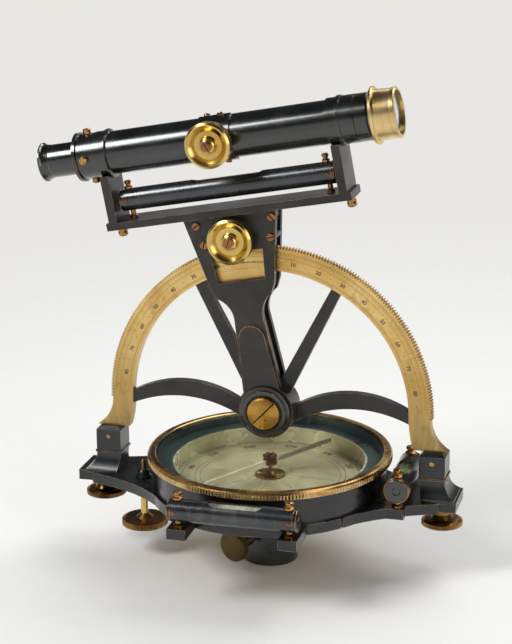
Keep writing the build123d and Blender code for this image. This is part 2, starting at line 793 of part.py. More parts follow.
# Vertical arc: toothed outside edge, plain inside edge, feet with tenons
foot_drop = hub_height - pedestal_top
arc_half_turn = arc_teeth // 2
arc_teeth_points = gear_points(arc_module, arc_teeth, 0, arc_half_turn)
arc_first = arc_teeth_points[0]
arc_last = arc_teeth_points[-1]
with BuildPart() as vertical_arc:
    with BuildSketch(arc_plane):
        with BuildLine():
            Polyline(*arc_teeth_points)
            TangentArc(arc_last, (-arc_foot_outer, -foot_drop), tangent=(0, -1))
            Polyline((-arc_foot_outer, -foot_drop), (-arc_foot_inner, -foot_drop))
            TangentArc((-arc_inner_radius, 0), (-arc_foot_inner, -foot_drop), tangent=(0, -1))
            ThreePointArc((-arc_inner_radius, 0), (0, arc_inner_radius), (arc_inner_radius, 0))
            TangentArc((arc_inner_radius, 0), (arc_foot_inner, -foot_drop), tangent=(0, -1))
            Polyline((arc_foot_inner, -foot_drop), (arc_foot_outer, -foot_drop))
            TangentArc(arc_first, (arc_foot_outer, -foot_drop), tangent=(0, -1))
        make_face()
    extrude(amount=arc_thickness / 2, both=True)
    with BuildSketch(arc_plane):
        with Locations(
            (pedestal_middle, -foot_drop - tenon_depth / 2),
            (-pedestal_middle, -foot_drop - tenon_depth / 2),
        ):
            Rectangle(tenon_width, tenon_depth)
    extrude(amount=tenon_thickness / 2, both=True)
    with BuildSketch(arc_plane):
        with Locations((pedestal_middle, -foot_drop - pin_drop), (-pedestal_middle, -foot_drop - pin_drop)):
            Circle(pin_radius)
    extrude(amount=arc_thickness, both=True, mode=Mode.SUBTRACT)
save(vertical_arc, "vertical_arc")

# Frame inside the arc: hub, two straight struts and two arched braces
strut_up = Vector(sin(radians(strut_angle)), cos(radians(strut_angle)))
strut_side = Vector(cos(radians(strut_angle)), -sin(radians(strut_angle)))
strut_top = strut_up * arc_inner_radius
brace_root_top = (brace_root_reach, brace_root_high)
brace_root_bottom = (brace_root_reach, brace_root_low)
brace_end_top = (arc_inner_radius + 1, brace_end_high)
brace_end_bottom = (arc_inner_radius + 1, brace_end_low)
with BuildPart() as arc_frame:
    with BuildSketch(arc_plane):
        with BuildLine():
            Polyline(
                strut_side * (strut_offset + strut_half_width_low),
                strut_top + strut_side * (strut_offset + strut_half_width_high),
                strut_top + strut_side * (strut_offset - strut_half_width_high),
                strut_side * (strut_offset - strut_half_width_low),
                close=True,
            )
        make_face()
        with BuildLine():
            ThreePointArc(brace_root_top, brace_top, brace_end_top)
            Line(brace_end_top, brace_end_bottom)
            ThreePointArc(brace_end_bottom, brace_bottom, brace_root_bottom)
            Line(brace_root_bottom, brace_root_top)
        make_face()
        mirror(about=Plane.YZ)
        Circle(hub_boss_radius - 1)
        Circle(arc_inner_radius, mode=Mode.INTERSECT)
    extrude(amount=frame_thickness / 2, both=True)
    with BuildSketch(arc_plane):
        Circle(hub_boss_radius)
    extrude(amount=hub_boss_half, both=True)
    with BuildSketch(arc_plane):
        Circle(arm_pin_radius + running_fit)
    extrude(amount=hub_boss_half, both=True, mode=Mode.SUBTRACT)
save(arc_frame, "arc_frame")

# Index arm: a fork of two plates that straddle the arc
spacer_spots = [(arm_screw_shift + side * spacer_reach, spacer_rise) for side in (-1, 1)]
post_spots = [(arm_screw_shift + side * post_reach, post_rise) for side in (-1, 1)]
arm_screw_spots = spacer_spots + post_spots


def arm_outline():
    with BuildSketch() as outline:
        with BuildLine():
            Polyline(
                (0, arm_top),
                (arm_top_half, arm_top),
                (arm_shoulder_half, arm_shoulder),
                (arm_shoulder_half - shoulder_cut, arm_shoulder - shoulder_height),
            )
            ThreePointArc(
                (arm_shoulder_half - shoulder_cut, arm_shoulder - shoulder_height),
                (neck_half + 1.9, arm_shoulder - neck_curve),
                (neck_half, arm_shoulder - neck_start),
            )
            Polyline(
                (neck_half, arm_shoulder - neck_start),
                (neck_foot_half, neck_foot_rise),
                (0, neck_foot_rise),
                (0, arm_top),
            )
        make_face()
        mirror(about=Plane.YZ)
        Circle(hub_boss_radius)
    return outline.sketch


panel_half = neck_half - panel_edge
panel_foot_half = neck_foot_half - panel_edge
with BuildPart() as arm_front_plate:
    with BuildSketch(moved(arm_plane, out=arm_gap)):
        add(arm_outline())
        with BuildLine():
            Polyline(
                (-window_low_half, window_low),
                (window_low_half, window_low),
                (window_high_half, window_high),
                (-window_high_half, window_high),
                close=True,
            )
        make_face(mode=Mode.SUBTRACT)
    extrude(amount=front_plate_thickness)
    with BuildSketch(moved(arm_plane, out=arm_face)):
        with BuildLine():
            Polyline(
                (panel_half, panel_rise),
                (panel_foot_half, neck_foot_rise),
                (-panel_foot_half, neck_foot_rise),
                (-panel_half, panel_rise),
            )
            ThreePointArc((-panel_half, panel_rise), (0, panel_rise + panel_arch), (panel_half, panel_rise))
        make_face()
        Circle(hub_boss_radius)
    extrude(amount=neck_raise)
    with BuildSketch(moved(arm_plane, out=arm_gap)):
        Circle(arm_pin_radius)
        with Locations((0, altitude_pinion_rise)):
            Circle(altitude_shaft_radius + running_fit)
        with Locations(*arm_screw_spots):
            Circle(arm_screw_radius + screw_fit)
    extrude(amount=front_plate_thickness + neck_raise, mode=Mode.SUBTRACT)
save(arm_front_plate, "arm_front_plate")

with BuildPart() as arm_rear_plate:
    with BuildSketch(moved(arm_plane, out=-arm_gap)):
        add(arm_outline())
        Circle(arm_pin_radius, mode=Mode.SUBTRACT)
        with Locations((0, altitude_pinion_rise)):
            Circle(altitude_shaft_radius + running_fit, mode=Mode.SUBTRACT)
    extrude(amount=-rear_plate_thickness)
save(arm_rear_plate, "arm_rear_plate")

# Bar and posts that hold the two plates apart above the arc
with BuildPart() as arm_spacers:
    with BuildSketch(arm_plane):
        with BuildLine():
            Polyline(
                (-arm_top_half + 1, arm_top),
                (arm_top_half - 1, arm_top),
                (arm_top_half - 2.5, arm_top - spacer_height),
                (-arm_top_half + 2.5, arm_top - spacer_height),
                close=True,
            )
        make_face()
        with Locations(*spacer_spots):
            Circle(arm_screw_radius, mode=Mode.SUBTRACT)
    extrude(amount=arm_gap, both=True)
    with BuildSketch(arm_plane):
        with Locations(*post_spots):
            Circle(post_radius)
            Circle(arm_screw_radius, mode=Mode.SUBTRACT)
    extrude(amount=arm_gap, both=True)
save(arm_spacers, "arm_spacers")

with BuildPart() as arm_screws:
    with BuildSketch(arm_plane):
        with Locations(*arm_screw_spots):
            Circle(arm_screw_radius)
    extrude(amount=arm_face)
    with BuildSketch(moved(arm_plane, out=arm_face)):
        with Locations(*arm_screw_spots):
            Circle(arm_screw_radius + 1.1)
    extrude(amount=1.0)
save(arm_screws, "arm_screws")

# Vernier plate behind the window's lower edge, close over the arc's face
with BuildPart() as vernier:
    with BuildSketch(moved(arm_plane, out=arm_gap)):
        Circle(vernier_outer)
        with Locations((0, vernier_outer)):
            Rectangle(
                2 * (window_high_half + 0.7),
                2 * (vernier_outer - window_low + vernier_tuck),
                mode=Mode.INTERSECT,
            )
    extrude(amount=-vernier_thickness)
save(vernier, "vernier")

# Pivot of the arm: pin with its rear nut, front disc and slotted screw
with BuildPart() as arm_pivot_pin:
    add(turned(arm_plane, [
        (0, -arm_gap - rear_plate_thickness - 3.2),
        (arm_pin_radius, -arm_gap - rear_plate_thickness - 3.2),
        (arm_pin_radius, -arm_gap - rear_plate_thickness - 2.6),
        (hub_disc_radius - 3, -arm_gap - rear_plate_thickness - 2.6),
        (hub_disc_radius - 3, -arm_gap - rear_plate_thickness),
        (arm_pin_radius, -arm_gap - rear_plate_thickness),
        (arm_pin_radius, arm_face + neck_raise),
        (0, arm_face + neck_raise),
    ]))
save(arm_pivot_pin, "arm_pivot_pin")

disc_back = arm_face + neck_raise
with BuildPart() as hub_disc:
    add(turned(arm_plane, [
        (0, disc_back),
        (hub_disc_radius, disc_back),
        (hub_disc_radius, disc_back + hub_disc_thickness - 1.6),
        (hub_disc_radius - 1.6, disc_back + hub_disc_thickness - 1.2),
        (hub_disc_radius - 2, disc_back + hub_disc_thickness),
        (hub_screw_radius + 1.6, disc_back + hub_disc_thickness),
        (hub_screw_radius + 0.6, disc_back + hub_disc_thickness - 1),
        (0, disc_back + hub_disc_thickness - 1),
    ]))
save(hub_disc, "hub_disc")

screw_back = disc_back + hub_disc_thickness - 1
with BuildPart() as hub_screw:
    add(turned(arm_plane, [
        (0, screw_back),
        (hub_screw_radius, screw_back),
        (hub_screw_radius, screw_back + 1.8),
        (hub_screw_radius - 1, screw_back + 2.6),
        (hub_screw_radius / 2, screw_back + 3.1),
        (0, screw_back + 3.2),
    ]))
    with BuildSketch(moved(arm_plane, out=screw_back + 1.9)):
        Rectangle(3 * hub_screw_radius, 1.0, rotation=36)
    extrude(amount=2, mode=Mode.SUBTRACT)
save(hub_screw, "hub_screw")


# A cupped milled knob with its shaft, turned about a plane's normal
def knob_outline(shaft_radius, shaft_start, back):
    front = back + knob_thickness
    return [
        (0, shaft_start),
        (shaft_radius, shaft_start),
        (shaft_radius, back - 3.2),
        (5.2, back - 3.2),
        (5.2, back - 0.8),
        (knob_radius - 1.2, back),
        (knob_radius, back + 0.9),
        (knob_radius, front - 1.3),
        (knob_radius - 1.2, front - 0.4),
        (knob_radius - 2.0, front - 0.6),
        (knob_radius - 5.2, front - 3.6),
        (5.6, front - 3.6),
        (4.6, front - 0.6),
        (3.8, front),
        (0, front),
    ]


# Altitude knob and the pinion that climbs on the arc
altitude_plane = moved(arm_plane, up=altitude_pinion_rise)
altitude_knob_back = arm_face + 3.4
with BuildPart() as altitude_knob:
    add(turned(
        altitude_plane,
        knob_outline(altitude_shaft_radius, -arm_gap - rear_plate_thickness, altitude_knob_back),
    ))
save(altitude_knob, "altitude_knob")

# The arc's tooth nearest the arm sets how far the pinion is turned to mesh
arm_tooth = (90 + arm_lean) * arc_teeth / 360 % 1
altitude_turn = -90 + (arm_tooth + 0.5) * 360 / altitude_pinion_teeth
with BuildPart() as altitude_pinion:
    with BuildSketch(spun(altitude_plane, altitude_turn)):
        with BuildLine():
            Polyline(
                *gear_points(
                    arc_module, altitude_pinion_teeth, 0, altitude_pinion_teeth - 1, flank_steps=2,
                ),
                close=True,
            )
        make_face()
        Circle(altitude_shaft_radius, mode=Mode.SUBTRACT)
    extrude(amount=pinion_width / 2, both=True)
save(altitude_pinion, "altitude_pinion")

# Frame that carries the telescope: a bar with an upright at each end
with BuildPart() as telescope_frame:
    with BuildSketch(moved(arm_plane, out=frame_half_depth)):
        with BuildLine():
            Polyline(
                (-frame_half_length - frame_bar_overhang, frame_bar_low),
                (frame_half_length + frame_bar_overhang, frame_bar_low),
                (frame_half_length + frame_bar_overhang, frame_bar_high),
                (frame_half_length, frame_bar_high),
                (frame_half_length, upright_top),
                (frame_inner, upright_top),
                (frame_inner, frame_bar_high),
                (-frame_inner, frame_bar_high),
                (-frame_inner, upright_top),
                (-frame_half_length, upright_top),
                (-frame_half_length, frame_bar_high),
                (-frame_half_length - frame_bar_overhang, frame_bar_high),
                close=True,
            )
        make_face()
    extrude(amount=-2 * frame_half_depth)
    with BuildSketch(moved(tube_plane, out=-frame_half_length)):
        Circle(collar_radius)
    extrude(amount=2 * frame_half_length, mode=Mode.SUBTRACT)
save(telescope_frame, "telescope_frame")

# A plane across the tube at the diaphragm, facing one of the four reticle screws
def reticle_hole(quarter):
    across = spun(moved(tube_plane, out=diaphragm_spot), 90 * quarter)
    return Plane(origin=across.origin, x_dir=across.z_dir, z_dir=across.x_dir)


# Telescope tube with its collars and rings
body_radius = collar_radius - 0.3
ring_radius = collar_radius + 0.8
groove_line = frame_half_length + 11.3
with BuildPart() as telescope_tube:
    add(turned(tube_plane, [
        (tube_bore, tube_rear),
        (body_radius, tube_rear),
        (body_radius, -frame_half_length - 0.8),
        (collar_radius, -frame_half_length - 0.8),
        (collar_radius, -frame_inner + 0.2),
        (ring_radius, -frame_inner + 0.4),
        (ring_radius, -frame_inner + 1.6),
        (tube_radius, -frame_inner + 2.2),
        (tube_radius, frame_inner - 0.6),
        (collar_radius, frame_inner - 0.6),
        (collar_radius, frame_half_length + 0.1),
        (ring_radius, frame_half_length + 0.4),
        (ring_radius, frame_half_length + 2.5),
        (collar_radius + 0.2, frame_half_length + 2.8),
        (collar_radius + 0.2, groove_line - 0.3),
        (collar_radius - 0.3, groove_line),
        (collar_radius + 0.1, groove_line + 0.3),
        (collar_radius + 0.1, tube_front),
        (tube_bore, tube_front),
    ]))
    with BuildSketch(moved(arm_plane, right=focus_position, up=tube_rise)):
        Circle(focus_pinion_pitch + focus_module + 0.4)
    extrude(amount=tube_radius + 1, mode=Mode.SUBTRACT)
    for quarter in range(2):
        with BuildSketch(reticle_hole(quarter)):
            Circle(reticle_screw_radius + screw_fit)
        extrude(amount=collar_radius + 1, both=True, mode=Mode.SUBTRACT)
save(telescope_tube, "telescope_tube")

# Objective slide: inner tube with the focusing rack inside its front wall
rack_front = 10.6
rack_back = 7.6
rack_low = -5.4
slot_left = focus_position - focus_travel_out - focus_pinion_pitch - 1.5
slot_right = focus_position + focus_travel_in + focus_pinion_pitch + 1.5
rack_pitch = pi * focus_module
rack_count = int((slot_right - slot_left - 1) / rack_pitch)
with BuildPart() as objective_slide:
    add(turned(tube_plane, [
        (slide_radius - slide_wall, slide_start),
        (slide_radius, slide_start),
        (slide_radius, cell_start + 5),
        (slide_radius - slide_wall, cell_start + 5),
    ]))
    with BuildSketch(moved(arm_plane, up=tube_rise)):
        with Locations(((slot_left + slot_right) / 2, 0)):
            Rectangle(slot_right - slot_left, 2 * (focus_pinion_pitch + focus_module + 0.6))
    extrude(amount=slide_radius + 1, mode=Mode.SUBTRACT)
    with BuildSketch(moved(arm_plane, up=tube_rise, out=rack_front)):
        tooth_root = -focus_pinion_pitch - 1.2 * focus_module
        tooth_tip = -focus_pinion_pitch + 0.85 * focus_module
        lean = tan(radians(20))
        rack_points = [(slot_left - 2, rack_low), (slot_left - 2, tooth_root)]
        for tooth in range(-rack_count, rack_count):
            middle = focus_position + (tooth + 0.5) * rack_pitch
            if slot_left - 1 < middle < slot_right + 1:
                half_pitch = rack_pitch / 4 - 0.03
                root_half = half_pitch + 1.2 * focus_module * lean
                tip_half = half_pitch - 0.85 * focus_module * lean
                rack_points += [
                    (middle - root_half, tooth_root),
                    (middle - tip_half, tooth_tip),
                    (middle + tip_half, tooth_tip),
                    (middle + root_half, tooth_root),
                ]
        rack_points += [(slot_right + 2, tooth_root), (slot_right + 2, rack_low)]
        with BuildLine():
            Polyline(*rack_points, close=True)
        make_face()
    extrude(amount=rack_back - rack_front)
save(objective_slide, "objective_slide")

# Objective cell and lens
front_ring = cell_end - 3.1
with BuildPart() as objective_cell:
    add(turned(tube_plane, [
        (slide_radius, cell_start),
        (cell_flange_radius - 0.5, cell_start),
        (cell_flange_radius, cell_start + 0.5),
        (cell_flange_radius, cell_start + cell_flange_width - 0.5),
        (cell_flange_radius - 0.5, cell_start + cell_flange_width),
        (lens_radius + 2.0, cell_start + cell_flange_width),
        (lens_radius + 1.5, front_ring),
        (lens_radius + 1.9, front_ring + 0.3),
        (lens_radius + 1.9, cell_end - 0.5),
        (lens_radius + 1.4, cell_end),
        (lens_radius, cell_end),
        (lens_radius, lens_seat),
        (slide_radius, lens_seat),
    ]))
save(objective_cell, "objective_cell")

lens_top = lens_seat + lens_thickness
lens_centre = lens_top - lens_curve
lens_edge = lens_centre + (lens_curve ** 2 - lens_radius ** 2) ** 0.5
lens_middle = lens_centre + (lens_curve ** 2 - lens_radius ** 2 / 4) ** 0.5
with BuildPart() as objective_lens:
    with BuildSketch(Plane(origin=tube_plane.origin, x_dir=tube_plane.x_dir, z_dir=-tube_plane.y_dir)):
        with BuildLine():
            Polyline((0, lens_top), (0, lens_seat), (lens_radius, lens_seat), (lens_radius, lens_edge))
            ThreePointArc((lens_radius, lens_edge), (lens_radius / 2, lens_middle), (0, lens_top))
        make_face()
    revolve(axis=Axis(tube_plane.origin, tube_plane.z_dir))
save(objective_lens, "objective_lens")

# Focus knob with its pinion, and the saddle that carries its shaft
focus_plane = moved(arm_plane, right=focus_position, up=tube_rise)
focus_knob_back = saddle_boss + 3.4
with BuildPart() as focus_knob:
    add(turned(focus_plane, knob_outline(focus_shaft_radius, rack_back, focus_knob_back)))
    with BuildSketch(moved(focus_plane, out=rack_back)):
        with BuildLine():
            Polyline(
                *gear_points(
                    focus_module, focus_pinion_teeth, 0, focus_pinion_teeth - 1, flank_steps=2,
                ),
                close=True,
            )
        make_face()
    extrude(amount=rack_front - rack_back)
save(focus_knob, "focus_knob")

saddle_edge = 2.0           # rear edges of the saddle, in front of the tube's axis
with BuildPart() as focus_saddle:
    with BuildSketch(moved(tube_plane, out=saddle_left)):
        Circle(tube_radius + saddle_wall)
        Circle(tube_radius, mode=Mode.SUBTRACT)
        with Locations((0, saddle_edge + tube_radius)):
            Rectangle(3 * tube_radius, 2 * tube_radius, mode=Mode.INTERSECT)
    extrude(amount=saddle_right - saddle_left)
    with BuildSketch(moved(focus_plane, out=saddle_boss)):
        Circle(6.5)
    extrude(amount=-4.5)
    with BuildSketch(tube_plane):
        Circle(tube_radius)
    extrude(amount=20, both=True, mode=Mode.SUBTRACT)
    with BuildSketch(focus_plane):
        Circle(focus_shaft_radius + running_fit)
    extrude(amount=saddle_boss + 1, mode=Mode.SUBTRACT)
save(focus_saddle, "focus_saddle")

# Eye end: reticle ring, its four screws, the diaphragm and the sliding eyepiece
with BuildPart() as reticle_ring:
    add(turned(tube_plane, [
        (eye_tube_radius + sliding_fit, tube_rear - reticle_flange),
        (body_radius + 1.2, tube_rear - reticle_flange),
        (body_radius + 1.2, tube_rear),
        (tube_bore, tube_rear),
        (tube_bore, tube_rear + reticle_insert),
        (eye_tube_radius + sliding_fit, tube_rear + reticle_insert),
    ]))
save(reticle_ring, "reticle_ring")

with BuildPart() as diaphragm:
    with BuildSketch(moved(tube_plane, out=diaphragm_spot - diaphragm_thickness / 2)):
        Circle(tube_bore - 1)
        Circle(7, mode=Mode.SUBTRACT)
    extrude(amount=diaphragm_thickness)
save(diaphragm, "diaphragm")

eye_tube_bore = eye_tube_radius - 1.1
with BuildPart() as eyepiece_tube:
    add(turned(tube_plane, [
        (eye_tube_bore, eye_tube_start),
        (eye_tube_radius, eye_tube_start),
        (eye_tube_radius, eye_tube_end),
        (eye_tube_bore, eye_tube_end),
    ]))
save(eyepiece_tube, "eyepiece_tube")

# Eyecup: a thin rim that flares out from the tube, with a dished face and the eye hole
with BuildPart() as eyecup:
    add(turned(tube_plane, [
        (4.0, eyecup_end + 1.2),
        (8.5, eyecup_end),
        (eyecup_radius - 0.6, eyecup_end),
        (eyecup_radius, eyecup_end + 0.5),
        (eyecup_radius, eyecup_end + 1.3),
        (eyecup_radius - 0.9, eyecup_end + 2.2),
        (eye_tube_radius + 0.4, eyecup_end + 3.8),
        (eye_tube_radius, eye_tube_start),
        (4.0, eye_tube_start),
    ]))
save(eyecup, "eyecup")

with BuildPart() as eyepiece_lens:
    with BuildSketch(moved(tube_plane, out=eye_tube_start)):
        Circle(eye_tube_bore)
    extrude(amount=3)
save(eyepiece_lens, "eyepiece_lens")

# Four capstan screws that centre the diaphragm
with BuildPart() as reticle_screws:
    for quarter in range(4):
        add(turned(reticle_hole(quarter), [
            (0, tube_bore - 1),
            (reticle_screw_radius, tube_bore - 1),
            (reticle_screw_radius, body_radius),
            (reticle_head_radius, body_radius),
            (reticle_head_radius, body_radius + reticle_head_height - 0.6),
            (reticle_head_radius - 0.6, body_radius + reticle_head_height),
            (0, body_radius + reticle_head_height),
        ]))
save(reticle_screws, "reticle_screws")

# Nuts under the bar of the telescope frame
with BuildPart() as frame_nuts:
    for side in (-1, 1):
        nut_middle = along * (frame_nut_shift + side * frame_nut_reach) + toward * frame_nut_front
        nut_plane = Plane(origin=hub + nut_middle + up_arm * frame_bar_low, x_dir=along, z_dir=-up_arm)
        add(turned(nut_plane, [
            (0, 0),
            (frame_nut_radius - 0.6, 0),
            (frame_nut_radius, 0.6),
            (frame_nut_radius, frame_nut_height - 0.8),
            (frame_nut_radius - 0.8, frame_nut_height),
            (0, frame_nut_height),
        ]))
save(frame_nuts, "frame_nuts")


# A level: slotted tube, glass vial, two end caps, and two studs with a nut above and below
def make_level(name, middle, axis_dir, up_dir, radius, length, window, window_shift, stand, nut_radius):
    seat = Plane(origin=middle, x_dir=up_dir, z_dir=axis_dir)
    half = length / 2
    stud_offset = half - level_end
    vial_half = stud_offset - level_stud_radius - 1.2
    with BuildPart() as tube:
        with BuildSketch(moved(seat, out=-half + level_cap_depth)):
            Circle(radius)
            Circle(radius - level_wall, mode=Mode.SUBTRACT)
        extrude(amount=length - 2 * level_cap_depth)
        with BuildSketch(Plane(origin=middle, x_dir=axis_dir, z_dir=up_dir)):
            with Locations((window_shift, 0)):
                SlotOverall(window, radius * 1.25)
        extrude(amount=radius + 1, mode=Mode.SUBTRACT)
        with BuildSketch(Plane(origin=middle, x_dir=axis_dir, z_dir=up_dir)):
            with Locations((-stud_offset, 0), (stud_offset, 0)):
                Circle(level_stud_radius)
        extrude(amount=radius + 1, both=True, mode=Mode.SUBTRACT)
    save(tube, f"{name}_tube")

    with BuildPart() as vial:
        add(turned(seat, [
            (0, -vial_half),
            (radius - level_wall - 1.2, -vial_half),
            (radius - level_wall, -vial_half + 1.6),
            (radius - level_wall, vial_half - 1.6),
            (radius - level_wall - 1.2, vial_half),
            (0, vial_half),
        ]))
    save(vial, f"{name}_vial")

    with BuildPart() as caps:
        for side in (-1, 1):
            cap_seat = Plane(origin=middle + axis_dir * (side * (half - level_cap_depth)), x_dir=up_dir, z_dir=axis_dir * side)
            add(turned(cap_seat, [
                (0, 0),
                (radius, 0),
                (radius, level_cap_depth - 0.8),
                (radius - 0.8, level_cap_depth),
                (2.6, level_cap_depth),
                (2.0, level_cap_depth - 0.7),
                (0, level_cap_depth - 0.7),
            ]))
    save(caps, f"{name}_caps")

    with BuildPart() as studs:
        for side in (-1, 1):
            stud_seat = Plane(origin=middle + axis_dir * (side * stud_offset), x_dir=axis_dir, z_dir=up_dir)
            nut_low = radius + 0.3
            add(turned(stud_seat, [
                (0, -stand),
                (nut_radius, -stand),
                (nut_radius, -stand + 1.2),
                (nut_radius * 0.72, -stand + 1.8),
                (level_stud_radius, -stand + 2.2),
                (level_stud_radius, nut_low - 0.3),
                (nut_radius, nut_low),
                (nut_radius, nut_low + 1.0),
                (nut_radius * 0.65, nut_low + 1.8),
                (nut_radius * 0.65, nut_low + 2.4),
                (nut_radius * 0.87, nut_low + 3.2),
                (nut_radius * 0.87, nut_low + 4.2),
                (nut_radius * 0.62, nut_low + 4.8),
                (0, nut_low + 4.8),
            ]))
    save(studs, f"{name}_studs")


make_level(
    "front_level",
    Vector(0, -front_level_distance, plate_top + front_level_rise),
    Vector(1, 0, 0),
    Vector(0, 0, 1),
    front_level_radius,
    front_level_length,
    front_window,
    front_window_shift,
    front_level_rise,
    level_nut_radius,
)
make_level(
    "side_level",
    Vector(side_level_distance, side_level_shift, plate_top + side_level_rise),
    Vector(0, 1, 0),
    Vector(0, 0, 1),
    side_level_radius,
    side_level_length,
    side_window,
    0,
    side_level_rise,
    level_nut_radius,
)
make_level(
    "telescope_level",
    hub + up_arm * scope_level_rise,
    along,
    up_arm,
    scope_level_radius,
    scope_level_length,
    scope_window,
    0,
    scope_level_stand,
    scope_nut_radius,
)
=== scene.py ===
import bpy
import math
from mathutils import Matrix, Vector


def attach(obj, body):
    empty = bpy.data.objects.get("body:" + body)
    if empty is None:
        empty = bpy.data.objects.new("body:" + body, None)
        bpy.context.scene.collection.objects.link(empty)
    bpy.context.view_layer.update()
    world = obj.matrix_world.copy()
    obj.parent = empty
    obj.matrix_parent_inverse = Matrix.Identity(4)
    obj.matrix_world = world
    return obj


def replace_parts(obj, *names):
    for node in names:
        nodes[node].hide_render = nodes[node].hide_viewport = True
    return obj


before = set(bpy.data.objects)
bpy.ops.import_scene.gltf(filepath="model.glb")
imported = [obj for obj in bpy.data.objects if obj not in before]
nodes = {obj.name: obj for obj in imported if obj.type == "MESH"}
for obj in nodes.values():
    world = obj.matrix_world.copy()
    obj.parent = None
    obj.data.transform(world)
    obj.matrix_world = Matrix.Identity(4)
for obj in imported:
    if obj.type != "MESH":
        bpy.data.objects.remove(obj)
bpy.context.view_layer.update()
print("frame loaded")

mm = 0.001

# Places shared with the solids, in millimetres
hubHeight = 100.0
armLean = math.radians(10.2)
dialTop = 53.6
altitudeUp = 109.2    # from the hub, along the arm
tubeUp = 169.8
focusAlong = 0.5
thumbReach = 109.0
along = Vector((math.cos(armLean), 0, math.sin(armLean)))
upArm = Vector((-math.sin(armLean), 0, math.cos(armLean)))
toward = Vector((0, -1, 0))
upright = Vector((0, 0, 1))
hub = Vector((0, 0, hubHeight))
tubeLine = hub + upArm * tubeUp


def linear(hexText):
    # sRGB hex to the linear colour a shader wants
    parts = [int(hexText[i:i + 2], 16) / 255 for i in (0, 2, 4)]
    return tuple(p / 12.92 if p <= 0.04045 else ((p + 0.055) / 1.055) ** 2.4 for p in parts) + (1.0,)


# Camera, fitted to the photograph
camera = {
    "yaw": -15.60,
    "tilt": 16.60,
    "roll": -0.62,
    "focal": 1926.0,           # pixels
    "distance": 1200.0,        # mm from the middle of the bezel
    "bezel": (0, 0, 72),       # mm
    "middle": (270.0, 448.3),  # pixels, the middle of the bezel in the photograph
    "image": (512, 644),
    "sensor": 36,
    "clip": (0.05, 50),
}


def placeCamera():
    yaw, tilt, roll = (math.radians(camera[k]) for k in ("yaw", "tilt", "roll"))
    width, height = camera["image"]
    turn = Matrix.Rotation(-yaw, 3, "Z")
    forward = Vector((0, math.cos(tilt), -math.sin(tilt)))
    up = Vector((0, math.sin(tilt), math.cos(tilt)))
    right = Vector((1, 0, 0))
    rolledRight = math.cos(roll) * right + math.sin(roll) * up
    rolledUp = -math.sin(roll) * right + math.cos(roll) * up
    side = (camera["middle"][0] - width / 2) * camera["distance"] / camera["focal"]
    rise = (camera["middle"][1] - height / 2) * camera["distance"] / camera["focal"]
    away = turn @ (-camera["distance"] * forward - side * rolledRight + rise * rolledUp)
    data = bpy.data.cameras.new("camera")
    data.lens = camera["focal"] / height * camera["sensor"]
    data.sensor_width = camera["sensor"]
    data.clip_start, data.clip_end = camera["clip"]
    cam = bpy.data.objects.new("camera", data)
    basis = Matrix((turn @ rolledRight, turn @ rolledUp, turn @ -forward)).transposed()
    cam.matrix_world = Matrix.Translation((away + Vector(camera["bezel"])) * mm) @ basis.to_4x4()
    bpy.context.scene.collection.objects.link(cam)
    bpy.context.scene.camera = cam


placeCamera()
scene = bpy.context.scene
scene.view_settings.view_transform = "Standard"
print("camera placed")


def newMaterial(name):
    material = bpy.data.materials.new(name)
    material.use_nodes = True
    tree = material.node_tree
    return material, tree, tree.nodes["Principled BSDF"]


def node(tree, kind, **values):
    made = tree.nodes.new(kind)
    for key, value in values.items():
        setattr(made, key, value)
    return made


def fill(made, values):
    for name, value in values.items():
        made.inputs[name].default_value = value


def wire(tree, value, socket):
    # A constant is set on the socket, anything else is joined to it
    if isinstance(value, (int, float, tuple)):
        socket.default_value = value
    else:
        tree.links.new(value, socket)


def mixColour(tree, factor, a, b):
    made = node(tree, "ShaderNodeMix", data_type="RGBA")
    for index, value in ((0, factor), (6, a), (7, b)):
        wire(tree, value, made.inputs[index])
    return made.outputs[2]


def ramp(tree, value, low, high, toLow, toHigh):
    made = node(tree, "ShaderNodeMapRange")
    fill(made, {"From Min": low, "From Max": high, "To Min": toLow, "To Max": toHigh})
    wire(tree, value, made.inputs["Value"])
    return made.outputs[0]


def combine(tree, operation, a, b):
    made = node(tree, "ShaderNodeMath", operation=operation)
    wire(tree, a, made.inputs[0])
    wire(tree, b, made.inputs[1])
    return made.outputs[0]


def addBump(tree, surface, height, strength, depth):
    bump = node(tree, "ShaderNodeBump")
    fill(bump, {"Strength": strength, "Distance": depth})
    wire(tree, height, bump.inputs["Height"])
    wire(tree, bump.outputs[0], surface.inputs["Normal"])


def mixShaders(tree, factor, first, second, target):
    mixed = tree.nodes.new("ShaderNodeMixShader")
    for index, value in enumerate((factor, first.outputs[0], second.outputs[0])):
        wire(tree, value, mixed.inputs[index])
    wire(tree, mixed.outputs[0], tree.nodes[target].inputs["Surface"])


def seenRays(tree, path):
    # One for rays from the camera and for those that metal and glass send on
    seen = combine(tree, "MAXIMUM", path.outputs["Is Camera Ray"], path.outputs["Is Glossy Ray"])
    return combine(tree, "MAXIMUM", seen, path.outputs["Is Transmission Ray"])


wearInputs = {"Edge Width": 0.0006, "Patch Scale": 60.0, "Grain Scale": 900.0, "Seed": 0.0}


